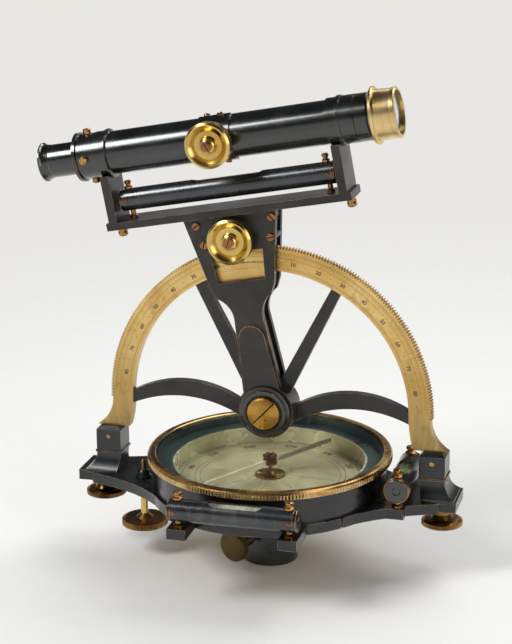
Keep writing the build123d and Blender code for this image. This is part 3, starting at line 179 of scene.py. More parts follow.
def makeWearGroup():
    # Masks shared by every metal: worn edges, rubbed patches, clouds of tarnish and fine grain
    group = bpy.data.node_groups.new("metalWear", "ShaderNodeTree")
    for name, default in wearInputs.items():
        socket = group.interface.new_socket(name=name, in_out="INPUT", socket_type="NodeSocketFloat")
        socket.default_value = default
    for name in ("Edge", "Patch", "Cloud", "Grain"):
        group.interface.new_socket(name=name, in_out="OUTPUT", socket_type="NodeSocketFloat")
    start = group.nodes.new("NodeGroupInput")
    end = group.nodes.new("NodeGroupOutput")
    coords = group.nodes.new("ShaderNodeTexCoord")
    shift = node(group, "ShaderNodeVectorMath", operation="ADD")
    wire(group, coords.outputs["Object"], shift.inputs[0])
    wire(group, start.outputs["Seed"], shift.inputs[1])

    def noise(scale, detail, rough, distortion=0.0):
        made = node(group, "ShaderNodeTexNoise")
        fill(made, {"Detail": detail, "Roughness": rough, "Distortion": distortion})
        wire(group, shift.outputs[0], made.inputs["Vector"])
        wire(group, scale, made.inputs["Scale"])
        return made.outputs["Fac"]

    geometry = group.nodes.new("ShaderNodeNewGeometry")
    bevel = node(group, "ShaderNodeBevel", samples=6)
    wire(group, start.outputs["Edge Width"], bevel.inputs["Radius"])
    dot = node(group, "ShaderNodeVectorMath", operation="DOT_PRODUCT")
    wire(group, bevel.outputs["Normal"], dot.inputs[0])
    wire(group, geometry.outputs["Normal"], dot.inputs[1])
    bent = combine(group, "SUBTRACT", 1.0, dot.outputs["Value"])
    breakup = ramp(group, noise(150.0, detail=5.0, rough=0.6), 0.40, 0.62, 0.0, 2.0)
    edge = ramp(group, combine(group, "MULTIPLY", bent, breakup), 0.06, 0.30, 0.0, 1.0)
    wire(group, edge, end.inputs["Edge"])
    patches = noise(start.outputs["Patch Scale"], detail=8.0, rough=0.62, distortion=0.6)
    wire(group, ramp(group, patches, 0.56, 0.74, 0.0, 1.0), end.inputs["Patch"])
    wire(group, noise(38.0, detail=4.0, rough=0.55), end.inputs["Cloud"])
    wire(group, noise(start.outputs["Grain Scale"], detail=3.0, rough=0.6), end.inputs["Grain"])
    return group


wearGroup = makeWearGroup()
bandShare = 0.16    # the broad bands are this much coarser than the fine lines


def makeTurnedGroup():
    # Lathe lines about an axis: values that change with the radius and along the axis
    group = bpy.data.node_groups.new("turnedLines", "ShaderNodeTree")
    for name, kind in (("Centre", "Vector"), ("Axis", "Vector"), ("Scale", "Float")):
        group.interface.new_socket(name=name, in_out="INPUT", socket_type="NodeSocket" + kind)
    for name in ("Line", "Band"):
        group.interface.new_socket(name=name, in_out="OUTPUT", socket_type="NodeSocketFloat")
    start = group.nodes.new("NodeGroupInput")
    end = group.nodes.new("NodeGroupOutput")
    coords = group.nodes.new("ShaderNodeTexCoord")
    fromCentre = node(group, "ShaderNodeVectorMath", operation="SUBTRACT")
    wire(group, coords.outputs["Object"], fromCentre.inputs[0])
    wire(group, start.outputs["Centre"], fromCentre.inputs[1])
    height = node(group, "ShaderNodeVectorMath", operation="DOT_PRODUCT")
    across = node(group, "ShaderNodeVectorMath", operation="CROSS_PRODUCT")
    for part in (height, across):
        wire(group, fromCentre.outputs[0], part.inputs[0])
        wire(group, start.outputs["Axis"], part.inputs[1])
    radius = node(group, "ShaderNodeVectorMath", operation="LENGTH")
    wire(group, across.outputs[0], radius.inputs[0])
    flat = group.nodes.new("ShaderNodeCombineXYZ")
    wire(group, radius.outputs["Value"], flat.inputs[0])
    wire(group, height.outputs["Value"], flat.inputs[1])
    for name, share in (("Line", 1.0), ("Band", bandShare)):
        lines = node(group, "ShaderNodeTexNoise", noise_dimensions="2D")
        fill(lines, {"Detail": 2.0})
        wire(group, flat.outputs[0], lines.inputs["Vector"])
        wire(group, combine(group, "MULTIPLY", start.outputs["Scale"], share), lines.inputs["Scale"])
        wire(group, lines.outputs["Fac"], end.inputs[name])
    return group


turnedGroup = makeTurnedGroup()

# What a finish has unless it says otherwise; lengths of wear are in metres
plainLook = {
    "edgeWidth": wearInputs["Edge Width"], "patchScale": wearInputs["Patch Scale"], "coat": 0.0,
    "specular": 0.5, "bump": 0.12, "lineScale": 3200.0, "band": 0.35, "line": 1.5, "rubbed": (),
}
coatRough = 0.12
bumpDepth = 0.0001
patchRough = 0.1      # how much rougher a patch is
patchHeight = -0.6    # and how far it lies below the rest
rubbedWear = {"edgeWidth": 0.0011, "patchScale": 150.0, "seed": 3.0}


def wearNode(tree, edgeWidth, patchScale, seed=0.0):
    wear = node(tree, "ShaderNodeGroup")
    wear.node_tree = wearGroup
    changed = {"Edge Width": edgeWidth, "Patch Scale": patchScale, "Seed": seed}
    fill(wear, {**wearInputs, **changed})
    return wear


def wornMetal(name, look):
    # A metal with tarnish clouds, rubbed edges and patches, and fine grain
    look = {**plainLook, **look}
    base, deep, worn, patch = (linear(look[key]) for key in ("base", "deep", "worn", "patchColour"))
    material, tree, surface = newMaterial(name)
    coords = tree.nodes.new("ShaderNodeTexCoord")
    wear = wearNode(tree, look["edgeWidth"], look["patchScale"])
    cloudy = ramp(tree, wear.outputs["Cloud"], 0.35, 0.65, 0.0, 1.0)
    patchMask = combine(tree, "MULTIPLY", wear.outputs["Patch"], look["patch"])
    colour = mixColour(tree, patchMask, mixColour(tree, cloudy, deep, base), patch)
    if "tint" in look:
        # A second colour towards one end, as on the legs of the arc
        tintColour, direction, low, high, amount = look["tint"]
        alongTint = node(tree, "ShaderNodeVectorMath", operation="DOT_PRODUCT")
        wire(tree, coords.outputs["Object"], alongTint.inputs[0])
        wire(tree, direction, alongTint.inputs[1])
        tinted = ramp(tree, alongTint.outputs["Value"], low * mm, high * mm, amount, 0.0)
        tintMask = combine(tree, "MULTIPLY", tinted, ramp(tree, cloudy, 0.0, 1.0, 0.6, 1.0))
        colour = mixColour(tree, tintMask, colour, linear(tintColour))
    edgeMask = combine(tree, "MULTIPLY", wear.outputs["Edge"], look["edge"])
    for spot, radius, amount in look["rubbed"]:
        # Where hands and covers have rubbed the finish through to the brass
        broad = wearNode(tree, **rubbedWear)
        apart = node(tree, "ShaderNodeVectorMath", operation="DISTANCE")
        wire(tree, coords.outputs["Object"], apart.inputs[0])
        wire(tree, tuple(Vector(spot) * mm), apart.inputs[1])
        near = ramp(tree, apart.outputs["Value"], radius * 0.5 * mm, radius * mm, amount, 0.0)
        rubbed = combine(tree, "MULTIPLY", broad.outputs["Edge"], near)
        edgeMask = combine(tree, "MAXIMUM", edgeMask, rubbed)
    colour = mixColour(tree, edgeMask, colour, worn)
    sunk = combine(tree, "MULTIPLY", wear.outputs["Patch"], patchHeight)
    height = combine(tree, "ADD", wear.outputs["Grain"], sunk)
    if "axis" in look:
        turned = node(tree, "ShaderNodeGroup")
        turned.node_tree = turnedGroup
        centre = tuple(Vector(look["centre"]) * mm)
        fill(turned, {"Centre": centre, "Axis": tuple(look["axis"]), "Scale": look["lineScale"]})
        banded = ramp(tree, turned.outputs["Band"], 0.35, 0.65, 0.0, look["band"])
        colour = mixColour(tree, banded, colour, deep)
        lines = combine(tree, "MULTIPLY", turned.outputs["Line"], look["line"])
        height = combine(tree, "ADD", height, lines)
    wire(tree, colour, surface.inputs["Base Color"])
    metallic = look["metallic"]
    if metallic < 1.0:
        # Worn edges are bare metal
        bare = combine(tree, "MULTIPLY", edgeMask, 1.0 - metallic)
        metallic = combine(tree, "ADD", metallic, bare)
    wire(tree, metallic, surface.inputs["Metallic"])
    rough = ramp(tree, wear.outputs["Cloud"], 0.3, 0.7, *look["rough"])
    rougher = combine(tree, "MULTIPLY", wear.outputs["Patch"], patchRough)
    wire(tree, combine(tree, "ADD", rough, rougher), surface.inputs["Roughness"])
    addBump(tree, surface, height, look["bump"], bumpDepth)
    fill(surface, {
        "Coat Weight": look["coat"], "Coat Roughness": coatRough, "Specular IOR Level": look["specular"],
    })
    return material


looks = {
    "lacquer": {
        "base": "1f2523", "deep": "111514", "worn": "b08c58",
        "metallic": 0.35, "rough": (0.17, 0.28), "edge": 0.85, "patch": 0.22, "coat": 0.6,
        "patchColour": "4a3c28", "edgeWidth": 0.00045, "specular": 1.0,
    },
    # Lighter bluish grey than the lacquer: a painted sheen on the level tubes, with real rubbed patches and
    # worn edges
    "rubbedLacquerSheen": {
        "base": "33383c", "deep": "1c2023", "worn": "b8945c",
        "metallic": 0.4, "rough": (0.19, 0.34), "edge": 1.0, "patch": 0.5, "coat": 0.4,
        "patchColour": "6a6052", "patchScale": 120.0, "specular": 1.0,
    },
    "greyed": {
        "base": "1e2223", "deep": "121515", "worn": "c3a06a",
        "metallic": 0.45, "rough": (0.24, 0.36), "edge": 1.0, "patch": 0.18, "coat": 0.3,
        "patchColour": "55452f", "edgeWidth": 0.0006, "specular": 0.8,
    },
    # Lighter, browner grey than the lacquer: a painted sheen on the flat plates, with real rubbed patches
    # and worn edges
    "armGreySheen": {
        "base": "3b3935", "deep": "2a2927", "worn": "c09a66",
        "metallic": 0.5, "rough": (0.30, 0.44), "edge": 0.95, "patch": 0.3, "coat": 0.1,
        "patchColour": "5f564a", "edgeWidth": 0.0005,
    },
    "hubBrass": {
        "base": "d2a355", "deep": "b08038", "worn": "f0d592",
        "metallic": 1.0, "rough": (0.24, 0.32), "edge": 0.5, "patch": 0.12, "line": 5.0,
        "patchColour": "8a6a35", "bump": 0.3, "lineScale": 4200.0, "band": 0.5,
    },
    # The steel needle made pale cream and not metal is a painted highlight; it is darker towards one end
    "needleHighlightPale": {
        "base": "fcf2d8", "deep": "efe0b6", "worn": "fdf8e8",
        "metallic": 0.0, "rough": (0.30, 0.42), "edge": 0.3, "patch": 0.15,
        "patchColour": "a08d5c", "patchScale": 160.0,
        "tint": ("4c4233", (-0.5, -0.866, 0), -8.0, -4.0, 0.95),
    },
    "capBrown": {
        "base": "7d5236", "deep": "4a2e1e", "worn": "cf9464",
        "metallic": 0.85, "rough": (0.28, 0.42), "edge": 0.7, "patch": 0.3,
        "patchColour": "2e1c12", "patchScale": 260.0,
    },
    "teal": {
        "base": "46574f", "deep": "2b3935", "worn": "8d8a60",
        "metallic": 0.5, "rough": (0.24, 0.36), "edge": 0.4, "patch": 0.3, "coat": 0.2,
        "patchColour": "6d7358", "edgeWidth": 0.0005,
    },
    "brass": {
        "base": "dfc477", "deep": "c6a458", "worn": "f6e7b4",
        "metallic": 1.0, "rough": (0.14, 0.26), "edge": 0.5, "patch": 0.3,
        "patchColour": "94733a", "bump": 0.06,
    },
    "paleBrass": {
        "base": "f0d7a0", "deep": "d8b678", "worn": "fbeecb",
        "metallic": 1.0, "rough": (0.24, 0.36), "edge": 0.5, "patch": 0.35,
        "patchColour": "a3814a", "bump": 0.08,
    },
    "aged": {
        "base": "a67d4a", "deep": "6c4d2c", "worn": "e0b87c",
        "metallic": 1.0, "rough": (0.26, 0.42), "edge": 0.6, "patch": 0.5,
        "patchColour": "4d4128", "patchScale": 120.0,
    },
    "darkAged": {
        "base": "685838", "deep": "423923", "worn": "b3945c",
        "metallic": 1.0, "rough": (0.28, 0.44), "edge": 0.6, "patch": 0.5,
        "patchColour": "38301f", "patchScale": 120.0,
    },
    "redGold": {
        "base": "d8b374", "deep": "a27a47", "worn": "f8e7bc",
        "metallic": 1.0, "rough": (0.20, 0.34), "edge": 0.9, "patch": 0.6,
        "patchColour": "4e3d28", "patchScale": 150.0,
    },
    "bronze": {
        "base": "c08f52", "deep": "94683a", "worn": "f0cc94",
        "metallic": 1.0, "rough": (0.20, 0.34), "edge": 0.7, "patch": 0.3,
        "patchColour": "5a4028", "patchScale": 180.0,
    },
    "copper": {
        "base": "aa7650", "deep": "7d5036", "worn": "e2b78f",
        "metallic": 1.0, "rough": (0.22, 0.36), "edge": 0.6, "patch": 0.3,
        "patchColour": "5a3a22", "patchScale": 260.0,
    },
    "gilt": {
        "base": "f0cf8a", "deep": "cba35c", "worn": "fae8b8",
        "metallic": 0.85, "rough": (0.26, 0.38), "edge": 0.5, "patch": 0.6,
        "patchColour": "7a6036", "patchScale": 90.0, "lineScale": 2400.0, "band": 0.45,
        "tint": ("756743", (0, 0, 1), 84.0, 150.0, 0.85),
    },
    "silvered": {
        "base": "cbc29c", "deep": "a69c74", "worn": "efe9cf",
        "metallic": 0.4, "rough": (0.28, 0.40), "edge": 0.2, "patch": 0.25,
        "patchColour": "8f8868", "patchScale": 70.0,
    },
    # The graduated ring is the dial's silver made lighter and glossier; the lighter colour is a painted
    # highlight
    "ringSilverHighlight": {
        "base": "e9e3c8", "deep": "c9c094", "worn": "f6f1de",
        "metallic": 0.55, "rough": (0.20, 0.30), "edge": 0.3, "patch": 0.2, "specular": 1.0,
        "patchColour": "a09668", "patchScale": 70.0,
    },
    "steel": {
        "base": "b9b7a8", "deep": "8d8b80", "worn": "e2e0d4",
        "metallic": 1.0, "rough": (0.25, 0.4), "edge": 0.4, "patch": 0.4,
        "patchColour": "5d5648", "patchScale": 160.0,
    },
}
metals = {name: wornMetal(name, look) for name, look in looks.items()}


def clearGlass(name, tint, rough=0.01, bend=1.46):
    material, tree, surface = newMaterial(name)
    fill(surface, {"Base Color": tint, "Transmission Weight": 1.0, "Roughness": rough, "IOR": bend})
    path = tree.nodes.new("ShaderNodeLightPath")
    through = node(tree, "ShaderNodeBsdfTransparent")
    fill(through, {"Color": tint})
    mixShaders(tree, path.outputs["Is Shadow Ray"], surface, through, "Material Output")
    return material


glass = clearGlass("glass", (0.97, 0.99, 0.98, 1))
print("materials made")


def dress(name, material):
    slots = nodes[name].data.materials
    slots.clear()
    slots.append(material)


# Finish of each node of the solids that isn't turned
finishOf = {
    "lacquer": [
        "hub_disc", "objective_slide", "focus_saddle", "reticle_ring", "diaphragm", "eyecup",
        "eyepiece_tube", "front_level_caps", "side_level_caps", "telescope_level_caps", "azimuth_bearing",
    ],
    "greyed": ["base_plate", "left_pedestal", "right_pedestal", "compass_box"],
    "armGreySheen": ["arc_frame", "arm_rear_plate", "arm_spacers", "telescope_frame"],
    "rubbedLacquerSheen": ["front_level_tube", "side_level_tube", "telescope_level_tube"],
    "needleHighlightPale": ["needle"],
    "brass": ["azimuth_circle", "azimuth_pinion", "arm_pivot_pin", "hub_screw", "altitude_pinion"],
    "aged": ["needle_pivot"],
    "darkAged": ["socket_clamp_screw"],
    "capBrown": ["needle_cap"],
    "bronze": [
        "pedestal_pins", "arm_screws", "frame_nuts", "reticle_screws",
        "front_level_studs", "side_level_studs", "telescope_level_studs",
    ],
    "gilt": ["vernier"],
    "steel": ["spindle"],
}
for finish, names in finishOf.items():
    for name in names:
        dress(name, metals[finish])
for name in ("compass_glass", "objective_lens", "eyepiece_lens"):
    dress(name, glass)
vialRough = 0.03
vialTints = {
    "front_level_vial": (0.95, 0.97, 0.95, 1), "side_level_vial": (0.93, 0.96, 0.86, 1),
    "telescope_level_vial": (0.92, 0.80, 0.58, 1),
}
for name, tint in vialTints.items():
    dress(name, clearGlass(name + "Glass", tint, vialRough))

# The box is green inside, and the needle's ring is brown like its cap
innerFinish = {
    # node: finish, how far out and from what height it is used
    "compass_box": ("teal", 71.6, 53.0),
    "needle": ("capBrown", 4.8, 0.0),
}
for name, (finish, outTo, upFrom) in innerFinish.items():
    mesh = nodes[name].data
    mesh.materials.append(metals[finish])
    for face in mesh.polygons:
        if math.hypot(face.center.x, face.center.y) < outTo * mm and face.center.z > upFrom * mm:
            face.material_index = 1

# Turned pieces show the lines of the lathe about their own axis
azimuthReach, azimuthBearing = 80.4, math.radians(188.4)
azimuthPlace = Vector((azimuthReach * math.cos(azimuthBearing), azimuthReach * math.sin(azimuthBearing), 0))
turnedPieces = {
    "altitude_knob": ("brass", hub + upArm * altitudeUp, toward),
    "focus_knob": ("brass", tubeLine + along * focusAlong, toward),
    "objective_cell": ("paleBrass", tubeLine, along),
    "telescope_tube": ("lacquer", tubeLine, along),
    "vertical_arc": ("gilt", hub, toward),  # the lines run round the hub
    "compass_dial": ("silvered", Vector(), upright),
    "graduated_ring": ("ringSilverHighlight", Vector(), upright),
    "bezel": ("redGold", Vector(), upright),
    "socket": ("lacquer", Vector(), upright),
    "azimuth_screw": ("aged", azimuthPlace, upright),
    "left_thumb_screw": ("aged", Vector((-thumbReach, 0, 0)), upright),
    "right_thumb_screw": ("aged", Vector((thumbReach, 0, 0)), upright),
}
for name, (finish, centre, axis) in turnedPieces.items():
    turnedLook = {**looks[finish], "centre": centre, "axis": axis}
    dress(name, wornMetal(name + "Finish", turnedLook))
hubLook = {**looks["hubBrass"], "centre": hub, "axis": toward}
metals["hubBrass"] = wornMetal("hubScrewFinish", hubLook)
rubbedPlaces = (
    # middle, radius, strength: the top of the arch and the edge beside the hub
    (hub + upArm * 52 + toward * 10, 18.0, 3.0),
    (hub + upArm * 22 + along * 11 + toward * 10, 9.0, 1.0),
)
# The front plate takes the arm's grey with its painted sheen, rubbed through at these places
dress("arm_front_plate", wornMetal("armFrontFinish", {**looks["armGreySheen"], "rubbed": rubbedPlaces}))
print("finishes set")

markHeight = 0.02    # engraved marks reach this far into the face and out of it


# Small pieces are built from points in millimetres and joined into one mesh each
def place(origin, xDir, zDir):
    z = Vector(zDir).normalized()
    x = Vector(xDir).normalized()
    spot = Matrix((x, z.cross(x), z)).transposed().to_4x4()
    spot.translation = Vector(origin)
    return spot


def flatSpot(x, y, z):
    # A place that faces straight up
    return place((x, y, z), (1, 0, 0), upright)


def shifted(spot, right=0.0, up=0.0, out=0.0):
    return spot @ Matrix.Translation((right, up, out))


def turnedBy(spot, angle):
    return spot @ Matrix.Rotation(angle, 4, "Z")


def armSpot(right, up, out):
    # A place on the leaning arm that faces the reader
    return shifted(place(hub, along, toward), right, up, out)


def bands(rows, count, closed=False):
    # Four-sided faces between rows of points, each row a ring of its own
    faces = []
    for row in range(rows if closed else rows - 1):
        below, above = row * count, (row + 1) % rows * count
        for i in range(count):
            j = (i + 1) % count
            faces.append((below + i, below + j, above + j, above + i))
    return faces


def capped(points, count):
    # Rings of points joined into a solid with flat ends
    ends = [tuple(range(count))[::-1], tuple(range(len(points) - count, len(points)))]
    return points, ends + bands(len(points) // count, count)


def prism(spot, outline, low, high):
    # A flat outline, counter-clockwise, made into a solid between two heights
    points = [spot @ Vector((x, y, height)) for height in (low, high) for x, y in outline]
    return capped(points, len(outline))


def lathe(spot, outline, steps):
    # (radius, height) points turned about the local Z, from the bottom up, with flat ends
    points = []
    for radius, height in outline:
        for step in range(steps):
            angle = 2 * math.pi * step / steps
            points.append(spot @ Vector((radius * math.cos(angle), radius * math.sin(angle), height)))
    return capped(points, steps)


def ballOutline(rings):
    # A half circle from the bottom up, without its poles
    angles = [math.pi * k / rings for k in range(1, rings)]
    return [(math.sin(a), -math.cos(a)) for a in angles]


def hoop(spot, radius, thick, steps=64, around=8):
    # A thin wire ring about the local Z
    points = []
    for step in range(steps):
        angle = 2 * math.pi * step / steps
        for part in range(around):
            turn = -2 * math.pi * part / around
            reach = radius + thick * math.cos(turn)
            points.append(spot @ Vector((
                reach * math.cos(angle), reach * math.sin(angle), thick * math.sin(turn),
            )))
    return points, bands(steps, around, closed=True)


# Shares of a screw head's radius or height
headShape = {"slot": 0.34, "slotFloor": 0.4, "shoulder": 0.8, "crown": (0.9, 0.88), "slotLength": 0.97}


def slottedHead(spot, radius, height, slotTurn, slotWidth=None):
    # A screw head as two D shapes either side of a real slot, on a thin disc, and a dark strip of painted
    # shade on the slot's floor
    half = (slotWidth or radius * headShape["slot"]) / 2
    low = height * headShape["slotFloor"]
    crownX, crownY = headShape["crown"]
    parts = [lathe(spot, [(radius, 0), (radius, low)], 28)]
    first = math.asin(half / radius)
    arc = [first + (math.pi - 2 * first) * step / 12 for step in range(13)]
    for side in (0, math.pi):
        turned = turnedBy(spot, slotTurn + side)
        outline = [(radius * math.cos(a), radius * math.sin(a)) for a in arc]
        crown = [(x * crownX, half + (y - half) * crownY) for x, y in outline]
        points = [turned @ Vector((x, y, low)) for x, y in outline]
        points += [turned @ Vector((x, y, height * headShape["shoulder"])) for x, y in outline]
        points += [turned @ Vector((x, y, height)) for x, y in crown]
        parts.append(capped(points, len(outline)))
    # The dark strip on the slot's floor is painted shade
    long = radius * headShape["slotLength"]
    outline = [(-long, -half), (long, -half), (long, half), (-long, half)]
    return parts, prism(turnedBy(spot, slotTurn), outline, low - 0.02, low + 0.05)


def knurl(spot, radius, low, high, count, depth):
    # Fine ridges around a rim, rooted a little under its surface
    parts = []
    half = math.pi / count * 0.92
    inner = radius - 0.1
    outline = [
        (inner * math.cos(half), -inner * math.sin(half)),
        (radius + depth, 0),
        (inner * math.cos(half), inner * math.sin(half)),
    ]
    for step in range(count):
        parts.append(prism(turnedBy(spot, 2 * math.pi * step / count), outline, low, high))
    return parts


def ringLine(spot, radius, width, first, last, height=markHeight, step=2.0):
    # A band along a circle, between two bearings in degrees and as far below the spot as above it
    count = int((last - first) / step) + 1
    outer, inner = radius + width / 2, radius - width / 2
    points = []
    for i in range(count):
        angle = math.radians(first + (last - first) * i / (count - 1))
        for r, h in ((outer, height), (outer, -height), (inner, -height), (inner, height)):
            points.append(spot @ Vector((r * math.cos(angle), r * math.sin(angle), h)))
    return capped(points, 4)


def tick(spot, bearing, inner, outer, width):
    half = width / 2
    outline = [(inner, -half), (outer, -half), (outer, half), (inner, half)]
    return prism(turnedBy(spot, math.radians(bearing)), outline, -markHeight, markHeight)


def figure(spot, word, size):
    # A number as a thin solid, in Blender's own font, its foot towards the middle of the circle
    curve = bpy.data.curves.new("figure", "FONT")
    curve.body = word
    curve.size = size
    curve.extrude = markHeight
    curve.offset = size * 0.028
    curve.resolution_u = 3
    curve.align_x = "CENTER"
    curve.align_y = "CENTER"
    holder = bpy.data.objects.new("figure", curve)
    scene.collection.objects.link(holder)
    graph = bpy.context.evaluated_depsgraph_get()
    flat = bpy.data.meshes.new_from_object(holder.evaluated_get(graph))
    standing = turnedBy(spot, math.radians(-90))
    points = [standing @ v.co for v in flat.vertices]
    faces = [tuple(p.vertices) for p in flat.polygons]
    bpy.data.objects.remove(holder)
    bpy.data.curves.remove(curve)
    bpy.data.meshes.remove(flat)
    return points, faces


def addPiece(name, parts, material, body, smooth=35.0):
    points, faces = [], []
    for partPoints, partFaces in parts:
        base = len(points)
        points += [p * mm for p in partPoints]
        faces += [tuple(i + base for i in face) for face in partFaces]
    mesh = bpy.data.meshes.new(name)
    mesh.from_pydata([tuple(p) for p in points], [], faces)
    mesh.materials.append(material)
    mesh.shade_smooth()
    mesh.set_sharp_from_angle(angle=math.radians(smooth))
    mesh.update()
    made = bpy.data.objects.new(name, mesh)
    scene.collection.objects.link(made)
    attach(made, body)
    return made


def addScrews(name, heads, finish, body):
    # Each head is its spot, radius, height and the turn of its slot, and sometimes the slot's width
    parts, dark = [], []
    for head in heads:
        solid, strip = slottedHead(*head)
        parts += solid
        dark.append(strip)
    # Dark strips of painted shade on the slot floors
    addPiece(name + "_slot_shade", dark, shadeAndLineInk, body)
    return addPiece(name, parts, metals[finish], body)


paintLook = {"specks": 700.0, "roughSpread": 0.2, "bump": 0.2, "bumpDepth": 0.00005}


def paint(name, colour, rough, deep=None):
    # Dull filler in engraved lines, and dark paint on slot floors and in place of holes, which is painted
    # shade
    material, tree, surface = newMaterial(name)
    coords = tree.nodes.new("ShaderNodeTexCoord")
    specks = node(tree, "ShaderNodeTexNoise")
    fill(specks, {"Scale": paintLook["specks"], "Detail": 4.0})
    wire(tree, coords.outputs["Object"], specks.inputs["Vector"])
    speck = specks.outputs["Fac"]
    tone = linear(colour)
    if deep:
        tone = mixColour(tree, ramp(tree, speck, 0.35, 0.65, 0.0, 1.0), linear(deep), tone)
    wire(tree, tone, surface.inputs["Base Color"])
    spread = ramp(tree, speck, 0.3, 0.7, rough, rough + paintLook["roughSpread"])
    wire(tree, spread, surface.inputs["Roughness"])
    addBump(tree, surface, speck, paintLook["bump"], paintLook["bumpDepth"])
    return material


engraving = paint("engraving", "3a3222", 0.6, "5d5238")
dialInk = paint("dialInk", "2a281e", 0.6, "48452f")
# Painted shade for the slot floors and the nuts' holes, and ink for the lines on the level vials
shadeAndLineInk = paint("shadeAndLineInk", "120d0a", 0.7)
bubbleSkin = clearGlass("bubbleSkin", (0.97, 0.99, 0.95, 1), 0.02, 1.02)

# Divisions of the arc: fine circles, a tick for each degree and a number for each ten
arcMarks = {
    "front": 3.25, "circles": (99.4, 96.2, 90.2), "circleWidth": 0.14, "circleEnds": (2, 178),
    "firstTick": 4, "lastTick": 176, "tickOuter": 99.4, "tickWidth": 0.16,
    "degree": 98.0, "five": 97.2, "ten": 96.2, "figureRadius": 93.2, "figureSize": 3.4, "dotRadius": 0.32,
}
arcFace = place(hub + toward * arcMarks["front"], (1, 0, 0), toward)
width, ends = arcMarks["circleWidth"], arcMarks["circleEnds"]
parts = [ringLine(arcFace, radius, width, *ends) for radius in arcMarks["circles"]]
dot = [(arcMarks["dotRadius"], -markHeight), (arcMarks["dotRadius"], markHeight)]
for degree in range(arcMarks["firstTick"], arcMarks["lastTick"] + 1):
    inner = arcMarks["ten" if degree % 10 == 0 else "five" if degree % 5 == 0 else "degree"]
    parts.append(tick(arcFace, degree, inner, arcMarks["tickOuter"], arcMarks["tickWidth"]))
    middle = shifted(turnedBy(arcFace, math.radians(degree)), arcMarks["figureRadius"])
    if degree % 10 == 0:
        parts.append(figure(middle, str(abs(degree - 90)), arcMarks["figureSize"]))
    elif degree % 10 == 5:
        parts.append(lathe(middle, dot, 12))
addPiece("arc_divisions", parts, engraving, "alidade")

# Divisions of the vernier, behind the arm's window
vernierMarks = {
    "front": 4.4, "circle": 89.4, "ends": (82, 98), "each": 0.95, "count": 9,
    "short": 90.2, "tickOuter": 92.4, "width": 0.14,
}
vernierFace = armSpot(0, 0, vernierMarks["front"])
parts = [ringLine(vernierFace, vernierMarks["circle"], vernierMarks["width"], *vernierMarks["ends"])]
for step in range(-vernierMarks["count"], vernierMarks["count"] + 1):
    inner = vernierMarks["short" if step % 5 else "circle"]
    bearing = 90 + step * vernierMarks["each"]
    parts.append(tick(vernierFace, bearing, inner, vernierMarks["tickOuter"], vernierMarks["width"]))
addPiece("vernier_divisions", parts, engraving, "arm")
print("arc divided")

# Dial: ring of degrees, numbers and an eight-pointed star
dialMarks = {
    "circles": (58.8, 55.6, 47.2, 44.0), "width": 0.3, "tickOuter": 58.6, "degree": 57.4, "ten": 56.2,
    "figureRadius": 51.5, "figureSize": 5.4, "long": 41.0, "short": 27.0, "waist": 7.5, "starWidth": 0.22,
}
dialFace = flatSpot(0, 0, dialTop)
parts = [ringLine(dialFace, radius, dialMarks["width"], 0, 360) for radius in dialMarks["circles"]]
for degree in range(0, 360, 2):
    inner = dialMarks["degree" if degree % 10 else "ten"]
    parts.append(tick(dialFace, degree, inner, dialMarks["tickOuter"], dialMarks["width"]))
for bearing in range(0, 360, 30):
    middle = shifted(turnedBy(dialFace, math.radians(bearing)), dialMarks["figureRadius"])
    parts.append(figure(middle, str((360 - bearing) % 360), dialMarks["figureSize"]))
for point in range(8):
    tip = Vector((dialMarks["short" if point % 2 else "long"], 0, 0))
    turned = turnedBy(dialFace, math.radians(45 * point))
    for side in (-1, 1):
        half = side * math.radians(22.5)
        waist = Vector((dialMarks["waist"] * math.cos(half), dialMarks["waist"] * math.sin(half), 0))
        across = Vector((waist.y - tip.y, tip.x - waist.x, 0)).normalized() * (dialMarks["starWidth"] / 2)
        corners = [tip - across, tip + across, waist + across, waist - across]
        if side > 0:
            corners.reverse()
        parts.append(prism(turned, [(c.x, c.y) for c in corners], -markHeight, markHeight))
addPiece("dial_marks", parts, dialInk, "alidade")

ringMarks = {"top": 63.9, "tickOuter": 60.3, "degree": 59.5, "five": 59.35, "width": 0.16}
ringFace = flatSpot(0, 0, ringMarks["top"])
parts = []
for degree in range(360):
    inner = ringMarks["degree" if degree % 5 else "five"]
    parts.append(tick(ringFace, degree, inner, ringMarks["tickOuter"], ringMarks["width"]))
addPiece("ring_marks", parts, dialInk, "alidade")

# Two small screws that hold the needle's foot to the dial
pivotScrews = {"side": 6.2, "back": -1.5, "lift": 1.0, "radius": 1.9, "height": 1.3, "turn": 0.4}
heads = []
for side in (-1, 1):
    spot = flatSpot(side * pivotScrews["side"], pivotScrews["back"], dialTop + pivotScrews["lift"])
    heads.append((spot, pivotScrews["radius"], pivotScrews["height"], pivotScrews["turn"] * side))
addScrews("pivot_screws", heads, "brass", "alidade")
print("dial marked")

